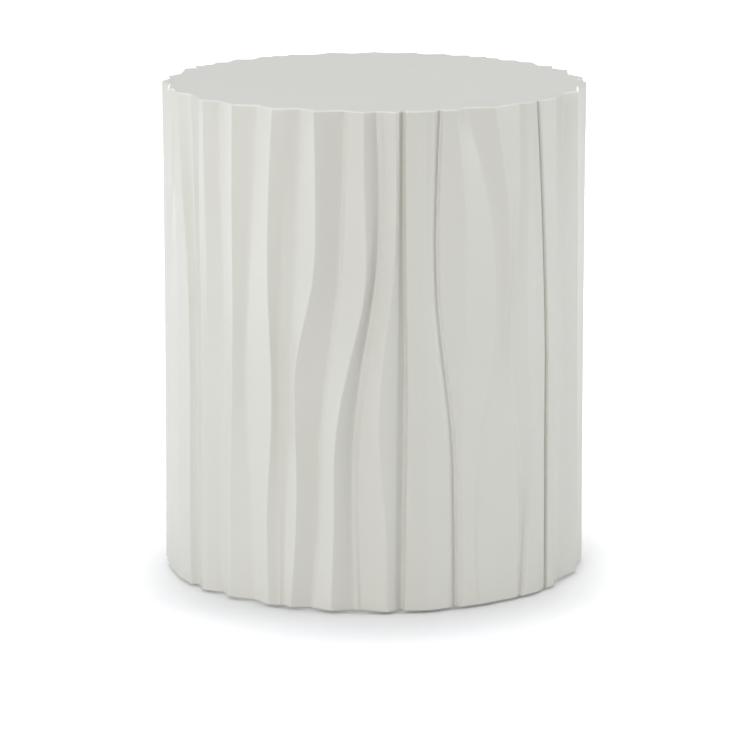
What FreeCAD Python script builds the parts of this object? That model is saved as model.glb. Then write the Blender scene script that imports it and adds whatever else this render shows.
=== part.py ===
import FreeCAD, Part
import math
import os

import Sketcher
from FreeCAD import Vector

# Outdoor drum side table: a hollow cast-composite drum with a flat top. Its wall carries long,
# wandering hanging folds, deeper than they are wide in places, that break the rim into scallops.
# The drum is open underneath. A plywood ring stiffens the foot and carries four levelling glides.
# Origin: centre of the floor under the table. +Z is up and -Y is the front that the photo shows.

doc = FreeCAD.newDocument("outdoor_side_table")

# Driving sizes, in millimetres

SIZES = (
    ("drum_diameter", 450.0, "drum across the crests of its folds"),
    ("overall_height", 522.0, "floor to top face, glides screwed in"),
    ("foot_gap", 3.0, "drum's foot above the floor, glides screwed in"),
    ("fold_depth", 15.0, "crest circle to the deepest groove"),
    ("wall_thickness", 7.0, "least wall behind the deepest groove"),
    ("rim_break", 2.0, "eased edge round the top"),
    ("ledge_width", 3.0, "ledge that the top panel rests on"),
    ("top_thickness", 12.0, "top panel"),
    ("rib_depth", 20.0, "ribs moulded under the top panel"),
    ("rib_width", 10.0, "ribs moulded under the top panel"),
    ("rib_inset", 12.0, "rib's outer end in from the bore"),
    ("hub_diameter", 70.0, "boss where the ribs meet"),
    ("bond_gap", 0.3, "adhesive line between bonded pieces"),
    ("ring_thickness", 18.0, "plywood foot ring"),
    ("ring_width", 53.4, "foot ring from its opening to its edge"),
    ("block_width", 60.0, "fixing block along the wall"),
    ("block_depth", 28.0, "fixing block out from the wall"),
    ("block_height", 42.0, "fixing block"),
    ("screw_inset", 15.0, "coach screw in from the bore"),
    ("screw_diameter", 6.0, "coach screw"),
    ("screw_length", 50.0, "coach screw under its head"),
    ("screw_head_width", 10.0, "coach screw's hexagon across flats"),
    ("screw_head_height", 4.0, "coach screw's hexagon"),
    ("hole_clearance", 0.25, "round a screw or stud in the ring, each side"),
    ("stud_diameter", 8.0, "glide's threaded stud"),
    ("stud_length", 32.0, "stud above its hexagon"),
    ("hexagon_width", 13.0, "stud's hexagon and captive nut across flats"),
    ("hexagon_height", 5.0, "stud's hexagon"),
    ("spigot_diameter", 10.0, "stud's foot that turns in the pad"),
    ("pad_width", 30.0, "glide pad across its grip flats"),
    ("pad_height", 6.0, "glide pad"),
    ("pad_floor", 1.8, "pad under the stud's foot"),
    ("pad_bevel", 1.2, "pad's lower edge"),
    ("pad_play", 0.3, "stud in its pad, each way"),
    ("stop_gap", 0.3, "stud's hexagon to captive nut when screwed in"),
    ("nut_height", 6.5, "captive nut"),
    ("nut_fit", 0.1, "round the captive nut in its pocket"),
    ("running_clearance", 0.05, "stud in captive nut, each side"),
    ("cut_overrun", 5.0, "how far a cutting tool runs past a face"),
)

sheet = doc.addObject("Spreadsheet::Sheet", "Sizes")
for row, (alias, millimetres, meaning) in enumerate(SIZES, start=1):
    sheet.set(f"A{row}", alias)
    sheet.set(f"B{row}", str(millimetres))
    sheet.set(f"C{row}", meaning)
    sheet.setAlias(f"B{row}", alias)
doc.recompute()


def size(formula):
    """Value in millimetres of a formula in the sheet's names."""
    return float(sheet.evalExpression(formula))


# Places that more than one piece needs, as formulas in the sheet's names

CREST_RADIUS = "Sizes.drum_diameter / 2"
BORE_RADIUS = "(Sizes.drum_diameter / 2 - Sizes.fold_depth - Sizes.wall_thickness)"
PANEL_SEAT = "(Sizes.overall_height - Sizes.top_thickness)"
RING_RADIUS = f"({BORE_RADIUS} - Sizes.bond_gap)"
HEXAGON_FOOT = "(Sizes.pad_height + Sizes.pad_play)"
RING_FOOT = f"({HEXAGON_FOOT} + Sizes.hexagon_height + Sizes.stop_gap)"
RING_TOP = f"({RING_FOOT} + Sizes.ring_thickness)"
RING_OPENING = f"({RING_RADIUS} - Sizes.ring_width)"
GLIDE_CIRCLE = f"({RING_RADIUS} - Sizes.ring_width / 2)"
SCREW_CIRCLE = f"({BORE_RADIUS} - Sizes.screw_inset)"

GLIDE_ANGLES = {"front_right": -45.0, "rear_right": 45.0, "rear_left": 135.0, "front_left": 225.0}
BLOCK_ANGLES = {"front": -90.0, "right": 0.0, "rear": 90.0, "left": 180.0}
FULL_TURN = 360.0
RIB_COUNT = 6
HEXAGON_SIDES = 6
PAD_SIDES = 12


# Carved folds of the drum wall
#
# Each fold line is a crest or a groove that runs from foot to rim. Its first numbers are its depth
# shares at the foot, the middle and the rim: 0 on the crest circle, 1 in the deepest groove. The
# rest are the angles at which it is seen at the heights below, in degrees to the right of the
# front. They are read on a circle a little inside the crests, so that a groove, which lies deeper,
# stands at a greater true angle than it is seen at. Near the drum's edges the two become one.

HEIGHT_SHARES = (0.0, 0.2, 0.35, 0.5, 0.65, 0.8, 1.0)
MIDDLE_SHARE = 0.5

FRONT_FOLD_SHARES = (
    ((0.05, 0.10, 0.10), (-91.0, -91.5, -92.0, -92.0, -91.5, -91.0, -90.5)),
    ((0.50, 0.55, 0.60), (-88.3, -88.4, -88.0, -87.0, -85.5, -84.0, -83.5)),
    ((0.16, 0.16, 0.22), (-85.0, -84.5, -83.5, -82.0, -80.0, -77.3, -75.4)),
    ((0.30, 0.30, 0.52), (-76.5, -76.5, -75.6, -74.0, -73.4, -72.8, -72.2)),
    ((0.24, 0.22, 0.34), (-68.0, -68.0, -67.4, -67.0, -67.6, -69.2, -70.6)),
    ((0.18, 0.17, 0.30), (-60.4, -60.4, -60.0, -60.0, -60.8, -63.4, -67.2)),
    ((0.66, 0.62, 0.90), (-56.3, -56.3, -55.9, -55.9, -56.3, -57.1, -58.6)),
    ((0.16, 0.16, 0.32), (-53.9, -54.0, -53.3, -53.4, -53.8, -54.2, -53.8)),
    ((0.58, 0.54, 0.46), (-47.6, -47.6, -46.8, -46.6, -47.2, -48.2, -48.4)),
    ((0.82, 0.72, 0.80), (-45.0, -45.1, -43.9, -43.4, -44.0, -45.0, -45.0)),
    ((0.28, 0.28, 0.18), (-42.6, -42.3, -41.6, -41.0, -40.8, -40.9, -40.5)),
    ((0.80, 0.80, 1.00), (-33.6, -34.4, -35.9, -36.3, -35.3, -33.8, -32.2)),
    ((0.20, 0.10, 0.20), (-29.3, -29.7, -28.4, -28.4, -29.2, -29.0, -27.6)),
    ((0.58, 0.74, 1.00), (-24.6, -24.2, -23.3, -23.0, -21.2, -20.4, -19.0)),
    ((0.25, 0.10, 0.15), (-22.8, -21.0, -21.2, -21.0, -16.6, -15.4, -15.8)),
    ((0.80, 0.76, 0.84), (-17.2, -14.9, -14.4, -12.0, -9.5, -8.4, -7.4)),
    ((0.15, 0.00, 0.12), (-11.5, -10.6, -10.1, -6.5, -2.3, -2.2, -2.5)),
    ((0.70, 0.78, 0.62), (-5.5, -5.8, -5.3, -3.0, 0.2, 1.4, 0.6)),
    ((0.05, 0.10, 0.08), (3.6, 3.0, 1.6, 2.4, 4.8, 5.8, 5.6)),
    ((0.50, 0.52, 0.24), (5.8, 6.0, 6.1, 6.4, 6.6, 6.7, 6.6)),
    ((0.84, 0.84, 0.74), (7.5, 7.8, 8.1, 8.2, 8.0, 7.8, 7.7)),
    ((0.34, 0.34, 0.26), (8.4, 8.7, 9.0, 9.0, 8.7, 8.5, 8.4)),
    ((0.10, 0.10, 0.16), (14.6, 14.4, 13.8, 12.6, 11.9, 11.6, 11.5)),
    ((0.34, 0.24, 0.20), (20.7, 20.4, 19.1, 16.9, 15.4, 15.3, 15.8)),
    ((0.72, 0.60, 0.74), (22.4, 22.1, 21.4, 19.0, 17.0, 16.8, 17.8)),
    ((0.22, 0.18, 0.15), (24.6, 24.3, 24.1, 24.7, 25.2, 24.9, 22.0)),
    ((0.30, 0.46, 0.80), (28.8, 27.8, 29.5, 33.4, 34.3, 32.2, 24.4)),
    ((0.22, 0.14, 0.08), (42.0, 42.4, 40.2, 37.8, 39.0, 38.4, 33.7)),
    ((0.46, 0.46, 0.58), (43.3, 44.5, 42.4, 39.3, 40.6, 42.2, 42.3)),
    ((0.14, 0.14, 0.26), (45.0, 47.0, 47.0, 46.0, 45.4, 45.6, 44.6)),
    ((0.12, 0.12, 0.12), (51.4, 51.0, 50.4, 49.6, 48.9, 48.1, 46.1)),
    ((0.32, 0.32, 0.30), (53.7, 53.6, 53.4, 53.3, 52.4, 51.1, 48.8)),
    ((0.75, 0.75, 0.66), (52.0, 51.9, 51.7, 51.6, 50.7, 49.5, 47.8)),
    ((0.22, 0.22, 0.22), (55.4, 55.3, 55.1, 54.9, 53.9, 52.6, 50.3)),
    ((0.15, 0.15, 0.12), (58.4, 58.4, 58.7, 58.5, 58.0, 57.8, 57.5)),
    ((0.66, 0.56, 0.74), (60.4, 60.6, 61.3, 61.4, 61.2, 61.6, 62.2)),
    ((0.10, 0.08, 0.02), (76.0, 75.6, 74.7, 73.8, 73.2, 72.6, 71.6)),
    ((0.50, 0.50, 0.48), (80.0, 80.0, 80.0, 80.0, 79.5, 78.6, 78.2)),
    ((0.05, 0.08, 0.05), (88.0, 88.5, 89.0, 89.0, 88.5, 88.0, 88.0)),
)

SEEN_RADIUS_SHARE = 0.985
SEEN_FADE_ANGLES = (60.0, 82.0)

# The rear is out of the photo's sight below its rim. Each of its lines has an angle at the rim and
# a depth share, and wanders below the rim by two slow waves that are still at both of its ends.

REAR_FOLD_SHARES = (
    (92.4, 0.50), (96.8, 0.08), (103.5, 0.72), (111.0, 0.05), (115.4, 0.68), (120.0, 0.05),
    (122.6, 0.82), (129.4, 0.05), (132.0, 0.60), (135.4, 0.18), (138.4, 0.88), (142.0, 0.25),
    (144.2, 0.55), (147.0, 0.02), (150.2, 0.62), (152.2, 0.12), (156.0, 0.70), (159.4, 0.05),
    (165.0, 0.74), (168.4, 0.02), (174.0, 0.52), (180.0, 0.00), (185.6, 0.68), (192.6, 0.02),
    (197.4, 0.78), (204.6, 0.02), (207.0, 0.60), (209.8, 0.12), (211.6, 0.55), (213.6, 0.05),
    (219.0, 0.90), (222.6, 0.05), (228.4, 0.78), (230.6, 0.18), (234.8, 0.66), (236.6, 0.28),
    (238.0, 0.62), (239.8, 0.05), (243.2, 0.72), (245.6, 0.05), (255.6, 0.78), (261.0, 0.20),
    (265.4, 0.50),
)
REAR_START_ANGLE = 90.0
REAR_SPAN_ANGLE = 180.0
REAR_WANDER_ANGLES = (3.0, 1.0)
REAR_WANDER_TURNS = (2.0, 5.0)
REAR_LEAN_TURNS = (0.5, 0.5)
REAR_FADE_SHARE = 0.35

# A band wider than this gets one more line halfway, so that it keeps the drum's roundness
BAND_SPLIT_ANGLE = 9.0


def rear_angle(rim_angle, height_share):
    """Angle of a rear line at a height: two slow waves, still at the rim and at both side edges."""
    across = (rim_angle - REAR_START_ANGLE) / REAR_SPAN_ANGLE
    edge = math.sin(math.pi * across)
    drop = 1.0 - height_share
    wander = 0.0
    for swing, turns, lean in zip(REAR_WANDER_ANGLES, REAR_WANDER_TURNS, REAR_LEAN_TURNS):
        phase = turns * across
        wander += swing * (
            math.sin(2.0 * math.pi * (phase + lean * drop)) - math.sin(2.0 * math.pi * phase)
        )
    return rim_angle + edge * wander


def rear_depth(depth_share, rim_angle, height_share):
    """Depth share of a rear line at a height: some grooves fade halfway down."""
    across = (rim_angle - REAR_START_ANGLE) / REAR_SPAN_ANGLE
    fade = REAR_FADE_SHARE * math.sin(math.pi * height_share) * math.sin(
        REAR_WANDER_TURNS[1] * math.pi * across
    ) ** 2
    return depth_share * (1.0 - fade)


def front_depth(depths, height_share):
    """Depth share of a front line at a height, by a parabola through foot, middle and rim."""
    foot, middle, rim = depths
    lower = 1.0 - height_share
    return (
        foot * lower * (lower - height_share)
        + 4.0 * middle * lower * height_share
        + rim * height_share * (height_share - lower)
    )


def true_angle(seen_angle, depth_share):
    """Angle where a front line stands, from the one at which it is seen, by the line's depth."""
    radius = size(CREST_RADIUS) - depth_share * size("Sizes.fold_depth")
    sine = SEEN_RADIUS_SHARE * size(CREST_RADIUS) / radius * math.sin(math.radians(seen_angle))
    moved = math.degrees(math.asin(max(-1.0, min(1.0, sine))))
    start, end = SEEN_FADE_ANGLES
    share = max(0.0, min(1.0, (end - abs(seen_angle)) / (end - start)))
    return seen_angle + share ** 2 * (3.0 - 2.0 * share) * (moved - seen_angle)


def fold_lines(height_index):
    """All fold lines at one height, in order round the drum, as (angle, depth share) pairs."""
    height_share = HEIGHT_SHARES[height_index]
    lines = []
    for depths, angles in FRONT_FOLD_SHARES:
        depth_share = front_depth(depths, height_share)
        lines.append((true_angle(angles[height_index], depth_share), depth_share))
    lines += [
        (rear_angle(angle, height_share), rear_depth(depth, angle, height_share))
        for angle, depth in REAR_FOLD_SHARES
    ]
    return lines


def split_bands():
    """Which bands get a line halfway: those that are wide at the middle height."""
    lines = fold_lines(HEIGHT_SHARES.index(MIDDLE_SHARE))
    following = lines[1:] + [(lines[0][0] + FULL_TURN, lines[0][1])]
    return [after[0] - before[0] > BAND_SPLIT_ANGLE for before, after in zip(lines, following)]


def outline_points(height_index, height, inset=0.0):
    """Corners of the drum's outline at a height, drawn in from the folds by an inset."""
    lines = fold_lines(height_index)
    following = lines[1:] + [(lines[0][0] + FULL_TURN, lines[0][1])]
    polar = []
    for before, after, split in zip(lines, following, split_bands()):
        polar.append(before)
        if split:
            polar.append(((before[0] + after[0]) / 2.0, (before[1] + after[1]) / 2.0))
    points = []
    for angle, depth_share in polar:
        radius = size(CREST_RADIUS) - depth_share * size("Sizes.fold_depth") - inset
        turn = math.radians(angle)
        points.append(Vector(radius * math.sin(turn), -radius * math.cos(turn), height))
    return points


def outline_wire(name, height_index, height, inset=0.0):
    """Closed outline of the drum at a height, as an object of the document."""
    points = outline_points(height_index, height, inset)
    wire = doc.addObject("Part::Feature", name)
    wire.Shape = Part.makePolygon(points + points[:1])
    return wire


def loft(name, sections, ruled):
    """Solid through closed outlines, one face for each band between two fold lines."""
    skin = doc.addObject("Part::Loft", name)
    skin.Sections = sections
    skin.Solid = True
    skin.Ruled = ruled
    return skin


# Building helpers

def primitive(kind, name, **formulas):
    """Part primitive whose sizes and place follow formulas in the sheet's names."""
    shape = doc.addObject(f"Part::{kind}", name)
    places = {"x": "Placement.Base.x", "y": "Placement.Base.y", "z": "Placement.Base.z"}
    for prop, formula in formulas.items():
        shape.setExpression(places.get(prop, prop), formula)
    return shape


def boolean(kind, name, base, tool):
    """Cut or Common of two objects."""
    result = doc.addObject(f"Part::{kind}", name)
    result.Base = base
    result.Tool = tool
    return result


def fused(name, shapes):
    """Fusion of several objects."""
    result = doc.addObject("Part::MultiFuse", name)
    result.Shapes = shapes
    return result


def body_plane(body, role):
    """Origin plane of a body, such as XY_Plane."""
    return next(f for f in body.Origin.OriginFeatures if f.Role == role)


def profile(body, name, plane, corners):
    """Closed sketch through corners, each held at formulas in the sheet's names."""
    sketch = body.newObject("Sketcher::SketchObject", name)
    sketch.AttachmentSupport = [(body_plane(body, plane), "")]
    sketch.MapMode = "FlatFace"
    points = [Vector(size(x), size(y), 0) for x, y in corners]
    count = len(points)
    for i, start in enumerate(points):
        sketch.addGeometry(Part.LineSegment(start, points[(i + 1) % count]), False)
    for i in range(count):
        sketch.addConstraint(Sketcher.Constraint("Coincident", i, 2, (i + 1) % count, 1))
    for i, (x, y) in enumerate(corners):
        for kind, axis, formula, value in (
            ("DistanceX", -2, x, points[i].x),
            ("DistanceY", -1, y, points[i].y),
        ):
            if formula == "0":
                sketch.addConstraint(Sketcher.Constraint("PointOnObject", i, 1, axis))
                continue
            number = sketch.addConstraint(Sketcher.Constraint(kind, -1, 1, i, 1, value))
            label = f"{kind}_{i}"
            sketch.renameConstraint(number, label)
            sketch.setExpression(f"Constraints.{label}", formula)
    return sketch


def turned_body(name, corners):
    """Body turned round Z from a profile in the XZ plane."""
    body = doc.addObject("PartDesign::Body", name)
    sketch = profile(body, f"{name}_profile", "XZ_Plane", corners)
    turned = body.newObject("PartDesign::Revolution", f"{name}_turned")
    turned.Profile = sketch
    turned.ReferenceAxis = (sketch, ["V_Axis"])
    turned.Angle = FULL_TURN
    body.Tip = turned
    return body


def stand_at(piece, circle, angle):
    """Move a piece out from the drum's axis to a circle, at an angle anticlockwise from +X."""
    piece.setExpression("Placement.Base.x", f"{circle} * cos({angle} deg)")
    piece.setExpression("Placement.Base.y", f"{circle} * sin({angle} deg)")


# Pieces

def make_drum_wall():
    """Carved wall: a loft through the fold outlines, bored out and rebated for the top panel."""
    foot = size("Sizes.foot_gap")
    shoulder = size("Sizes.overall_height - Sizes.rim_break")
    sections = [
        outline_wire(f"fold_outline_{i}", i, foot + share * (shoulder - foot))
        for i, share in enumerate(HEIGHT_SHARES)
    ]
    carved = loft("carved_folds", sections, False)
    last = len(HEIGHT_SHARES) - 1
    rim = outline_wire("rim_outline", last, size("Sizes.overall_height"), size("Sizes.rim_break"))
    eased = loft("eased_rim", [sections[-1], rim], True)
    solid = fused("drum_solid", [carved, eased])
    bore = primitive(
        "Cylinder", "drum_bore",
        Radius=BORE_RADIUS,
        Height="Sizes.overall_height + 2 * Sizes.cut_overrun",
        z="-Sizes.cut_overrun",
    )
    rebate = primitive(
        "Cylinder", "panel_rebate",
        Radius=f"{BORE_RADIUS} + Sizes.ledge_width",
        Height="Sizes.top_thickness + Sizes.cut_overrun",
        z=PANEL_SEAT,
    )
    return boolean("Cut", "drum_wall", solid, fused("drum_hollow", [bore, rebate]))


def make_top_panel():
    """Round panel bonded on the wall's ledge, flush with the rim, with ribs moulded under it."""
    body = doc.addObject("PartDesign::Body", "top_panel")
    edge = f"{BORE_RADIUS} + Sizes.ledge_width - Sizes.bond_gap"
    rib_foot = f"{PANEL_SEAT} - Sizes.rib_depth"
    corners = [
        ("0", rib_foot),
        ("Sizes.hub_diameter / 2", rib_foot),
        ("Sizes.hub_diameter / 2", PANEL_SEAT),
        (edge, PANEL_SEAT),
        (edge, "Sizes.overall_height"),
        ("0", "Sizes.overall_height"),
    ]
    disc = profile(body, "panel_profile", "XZ_Plane", corners)
    panel = body.newObject("PartDesign::Revolution", "panel_disc")
    panel.Profile = disc
    panel.ReferenceAxis = (disc, ["V_Axis"])
    panel.Angle = FULL_TURN
    rib_start = "Sizes.hub_diameter / 2 - Sizes.rib_width"
    rib_end = f"{BORE_RADIUS} - Sizes.rib_inset"
    side = profile(
        body, "rib_profile", "XZ_Plane",
        [
            (rib_start, rib_foot),
            (f"{rib_end} - Sizes.rib_depth", rib_foot),
            (rib_end, PANEL_SEAT),
            (rib_start, PANEL_SEAT),
        ],
    )
    rib = body.newObject("PartDesign::Pad", "panel_rib")
    rib.Profile = side
    rib.setExpression("Length", "Sizes.rib_width")
    rib.Midplane = True
    pattern = body.newObject("PartDesign::PolarPattern", "panel_ribs")
    pattern.Originals = [rib]
    pattern.Axis = (disc, ["V_Axis"])
    pattern.Angle = FULL_TURN
    pattern.Occurrences = RIB_COUNT
    body.Tip = pattern
    return body


def hexagon_radius(width, play="0"):
    """Formula of the corner radius of a hexagon, from its width across flats and a play round it."""
    return f"({width} / 2 + {play}) * 2 / sqrt(3)"


def make_base_ring():
    """Plywood ring in the foot, bored for studs and screws, with a pocket for each captive nut."""
    outer = primitive("Cylinder", "ring_outer", Radius=RING_RADIUS,
                      Height="Sizes.ring_thickness", z=RING_FOOT)
    below = f"{RING_FOOT} - Sizes.cut_overrun"
    through = "Sizes.ring_thickness + 2 * Sizes.cut_overrun"
    tools = [primitive("Cylinder", "ring_opening",
                       Radius=RING_OPENING, Height=through, z=below)]
    for place, angle in GLIDE_ANGLES.items():
        hole = primitive("Cylinder", f"stud_hole_{place}",
                         Radius="Sizes.stud_diameter / 2 + Sizes.hole_clearance",
                         Height=through, z=below)
        pocket = primitive("Prism", f"nut_pocket_{place}",
                           Circumradius=hexagon_radius("Sizes.hexagon_width", "Sizes.nut_fit"),
                           Height="Sizes.nut_height + Sizes.nut_fit + Sizes.cut_overrun", z=below)
        pocket.Polygon = HEXAGON_SIDES
        for tool in (hole, pocket):
            stand_at(tool, GLIDE_CIRCLE, angle)
        tools += [hole, pocket]
    for place, angle in BLOCK_ANGLES.items():
        hole = primitive("Cylinder", f"screw_hole_{place}",
                         Radius="Sizes.screw_diameter / 2 + Sizes.hole_clearance",
                         Height=through, z=below)
        stand_at(hole, SCREW_CIRCLE, angle)
        tools.append(hole)
    return boolean("Cut", "base_ring", outer, fused("ring_cuts", tools))


def make_fixing_block(place, angle):
    """Hardwood block glued to the bore above the ring, with a blind hole for its coach screw."""
    stock = primitive(
        "Box", f"block_stock_{place}",
        Length="Sizes.block_depth + Sizes.cut_overrun",
        Width="Sizes.block_width",
        Height="Sizes.block_height",
    )
    start = f"({BORE_RADIUS} - Sizes.block_depth)"
    half = "Sizes.block_width / 2"
    stock.setExpression("Placement.Rotation.Angle", f"{angle} deg")
    stock.Placement.Rotation.Axis = Vector(0, 0, 1)
    stock.setExpression("Placement.Base.x", f"{start} * cos({angle} deg) + {half} * sin({angle} deg)")
    stock.setExpression("Placement.Base.y", f"{start} * sin({angle} deg) - {half} * cos({angle} deg)")
    stock.setExpression("Placement.Base.z", RING_TOP)
    curve = primitive("Cylinder", f"block_curve_{place}", Radius=RING_RADIUS,
                      Height="Sizes.block_height", z=RING_TOP)
    curved = boolean("Common", f"block_curved_{place}", stock, curve)
    hole = primitive(
        "Cylinder", f"pilot_hole_{place}",
        Radius="Sizes.screw_diameter / 2 + Sizes.running_clearance",
        Height="Sizes.screw_length - Sizes.ring_thickness + Sizes.cut_overrun",
        z=RING_TOP,
    )
    stand_at(hole, SCREW_CIRCLE, angle)
    return boolean("Cut", f"fixing_block_{place}", curved, hole)


def make_ring_screws():
    """Coach screws up through the ring into the blocks, as one group of solids."""
    screws = []
    for place, angle in BLOCK_ANGLES.items():
        head = primitive("Prism", f"screw_head_{place}",
                         Circumradius=hexagon_radius("Sizes.screw_head_width"),
                         Height="Sizes.screw_head_height",
                         z=f"{RING_FOOT} - Sizes.screw_head_height")
        head.Polygon = HEXAGON_SIDES
        shank = primitive("Cylinder", f"screw_shank_{place}",
                          Radius="Sizes.screw_diameter / 2",
                          Height="Sizes.screw_length", z=RING_FOOT)
        for shape in (head, shank):
            stand_at(shape, SCREW_CIRCLE, angle)
        screws.append(fused(f"ring_screw_{place}", [head, shank]))
    group = doc.addObject("Part::Compound", "ring_screws")
    group.Links = screws
    return group


def make_captive_nut(place, angle):
    """Hexagon nut let into the ring from below, so that the table's weight holds it in."""
    hexagon = primitive("Prism", f"nut_hexagon_{place}",
                        Circumradius=hexagon_radius("Sizes.hexagon_width"),
                        Height="Sizes.nut_height", z=RING_FOOT)
    hexagon.Polygon = HEXAGON_SIDES
    bore = primitive("Cylinder", f"nut_bore_{place}",
                     Radius="Sizes.stud_diameter / 2 + Sizes.running_clearance",
                     Height="Sizes.nut_height + 2 * Sizes.cut_overrun",
                     z=f"{RING_FOOT} - Sizes.cut_overrun")
    for shape in (hexagon, bore):
        stand_at(shape, GLIDE_CIRCLE, angle)
    return boolean("Cut", f"captive_nut_{place}", hexagon, bore)


def prism(body, name, sides, circumradius, height, foot="0"):
    """Additive prism of a body, standing on its XY plane at a height."""
    shape = body.newObject("PartDesign::AdditivePrism", name)
    shape.Polygon = sides
    shape.AttachmentSupport = [(body_plane(body, "XY_Plane"), "")]
    shape.MapMode = "FlatFace"
    shape.setExpression("Circumradius", circumradius)
    shape.setExpression("Height", height)
    shape.setExpression("AttachmentOffset.Base.z", foot)
    return shape


def make_glide_stud(place, angle):
    """Levelling stud: spigot that turns in the pad, hexagon for a spanner, threaded length."""
    spigot = "Sizes.spigot_diameter / 2"
    radius = "Sizes.stud_diameter / 2"
    top = f"{HEXAGON_FOOT} + Sizes.hexagon_height + Sizes.stud_length"
    foot = "Sizes.pad_floor + Sizes.pad_play"
    body = turned_body(f"glide_stud_{place}", [
        ("0", foot),
        (spigot, foot),
        (spigot, HEXAGON_FOOT),
        (radius, HEXAGON_FOOT),
        (radius, top),
        ("0", top),
    ])
    body.Tip = prism(body, f"hexagon_{place}", HEXAGON_SIDES,
                     hexagon_radius("Sizes.hexagon_width"), "Sizes.hexagon_height", HEXAGON_FOOT)
    stand_at(body, GLIDE_CIRCLE, angle)
    return body


def make_glide_pad(place, angle):
    """Plastic pad with grip flats round it and a socket in which the stud's spigot turns."""
    body = doc.addObject("PartDesign::Body", f"glide_pad_{place}")
    blank = prism(body, f"pad_blank_{place}", PAD_SIDES,
                  f"Sizes.pad_width / 2 / cos(180 deg / {PAD_SIDES})", "Sizes.pad_height")
    doc.recompute()
    lowest = min(range(len(blank.Shape.Faces)), key=lambda i: blank.Shape.Faces[i].CenterOfMass.z)
    bevel = body.newObject("PartDesign::Chamfer", f"pad_bevel_{place}")
    bevel.Base = (blank, [f"Face{lowest + 1}"])
    bevel.setExpression("Size", "Sizes.pad_bevel")
    socket = body.newObject("PartDesign::SubtractiveCylinder", f"pad_socket_{place}")
    socket.AttachmentSupport = [(body_plane(body, "XY_Plane"), "")]
    socket.MapMode = "FlatFace"
    socket.setExpression("Radius", "Sizes.spigot_diameter / 2 + Sizes.pad_play")
    socket.setExpression("Height", "Sizes.pad_height - Sizes.pad_floor + Sizes.cut_overrun")
    socket.setExpression("AttachmentOffset.Base.z", "Sizes.pad_floor")
    body.Tip = socket
    stand_at(body, GLIDE_CIRCLE, angle)
    return body


pieces = [make_drum_wall(), make_top_panel(), make_base_ring(), make_ring_screws()]
pieces += [make_fixing_block(place, angle) for place, angle in BLOCK_ANGLES.items()]
for place, angle in GLIDE_ANGLES.items():
    pieces += [
        make_captive_nut(place, angle),
        make_glide_stud(place, angle),
        make_glide_pad(place, angle),
    ]
doc.recompute()

# Every object has to be sound before anything is written

for item in doc.Objects:
    if {"Invalid", "Error"} & set(item.State):
        raise RuntimeError(f"{item.Name} did not build: {item.State}")
for piece in pieces:
    if piece.Shape.isNull() or not piece.Shape.isValid():
        raise RuntimeError(f"{piece.Name} has no sound shape")

os.makedirs("parts", exist_ok=True)
for piece in pieces:
    piece.Label = piece.Name
    solids = len(piece.Shape.Solids)
    print(f"{piece.Label}: {solids} solid(s), {piece.Shape.Volume / 1000:.1f} cm3")
    piece.Shape.exportStep(f"parts/{piece.Label}.step")
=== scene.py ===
import logging
import math
from collections.abc import Callable
from dataclasses import dataclass
from enum import Enum
from typing import Any

import bpy
import numpy as np
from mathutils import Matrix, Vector


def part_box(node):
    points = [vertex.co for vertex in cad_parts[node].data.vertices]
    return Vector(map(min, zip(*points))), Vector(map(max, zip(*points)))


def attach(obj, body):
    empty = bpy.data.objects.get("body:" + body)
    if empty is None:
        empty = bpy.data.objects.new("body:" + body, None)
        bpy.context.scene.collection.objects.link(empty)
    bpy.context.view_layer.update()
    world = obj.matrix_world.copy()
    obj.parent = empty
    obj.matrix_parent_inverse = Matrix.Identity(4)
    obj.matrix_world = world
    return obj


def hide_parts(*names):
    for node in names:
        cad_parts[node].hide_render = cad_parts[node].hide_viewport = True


# Round outdoor side table: a white lacquered drum with carved hanging folds, on recessed glides.
# Everything is in metres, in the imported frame: +Z is up, and -Y is the front that the photo shows.
# Angles of the drum are in degrees to the right of its front.

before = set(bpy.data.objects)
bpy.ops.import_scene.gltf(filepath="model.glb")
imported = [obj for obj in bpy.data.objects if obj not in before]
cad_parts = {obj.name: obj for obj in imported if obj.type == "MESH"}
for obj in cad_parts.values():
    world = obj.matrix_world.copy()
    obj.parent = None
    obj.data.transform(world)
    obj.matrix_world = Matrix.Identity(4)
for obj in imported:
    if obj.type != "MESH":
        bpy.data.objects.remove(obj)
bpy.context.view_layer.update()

LOG = logging.getLogger("side_table")
FULL_TURN = 360.0
SHARP_DEGREES = 40.0
METAL_SHARP_DEGREES = 35.0
Array = np.ndarray
Rings = tuple[Array, Array]


class Body(Enum):
    """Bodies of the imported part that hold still, and the prefixes of those that move."""

    ROOT = "root"
    PAD = "pad_"
    STUD = "stud_"


class Corner(Enum):
    """The four places where a levelling glide stands."""

    FRONT_RIGHT = "front_right"
    REAR_RIGHT = "rear_right"
    REAR_LEFT = "rear_left"
    FRONT_LEFT = "front_left"


class Side(Enum):
    """The four places where a fixing block sits."""

    FRONT = "front"
    RIGHT = "right"
    REAR = "rear"
    LEFT = "left"


# Materials


def joined(operation: str, swapped: bool = False) -> Callable[["Signal", Any], "Signal"]:
    """Make the method by which a Python operator joins two values.

    Args:
        operation: the Math node's operation.
        swapped: whether the other value comes first, as in a reflected operator.

    Returns:
        The method.
    """
    def method(self: "Signal", other: Any) -> "Signal":
        """Signal of a Math node on both values."""
        pair = (other, self) if swapped else (self, other)
        return self.recipe.node("ShaderNodeMath", {"operation": operation}, dict(enumerate(pair)))
    return method


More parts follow.
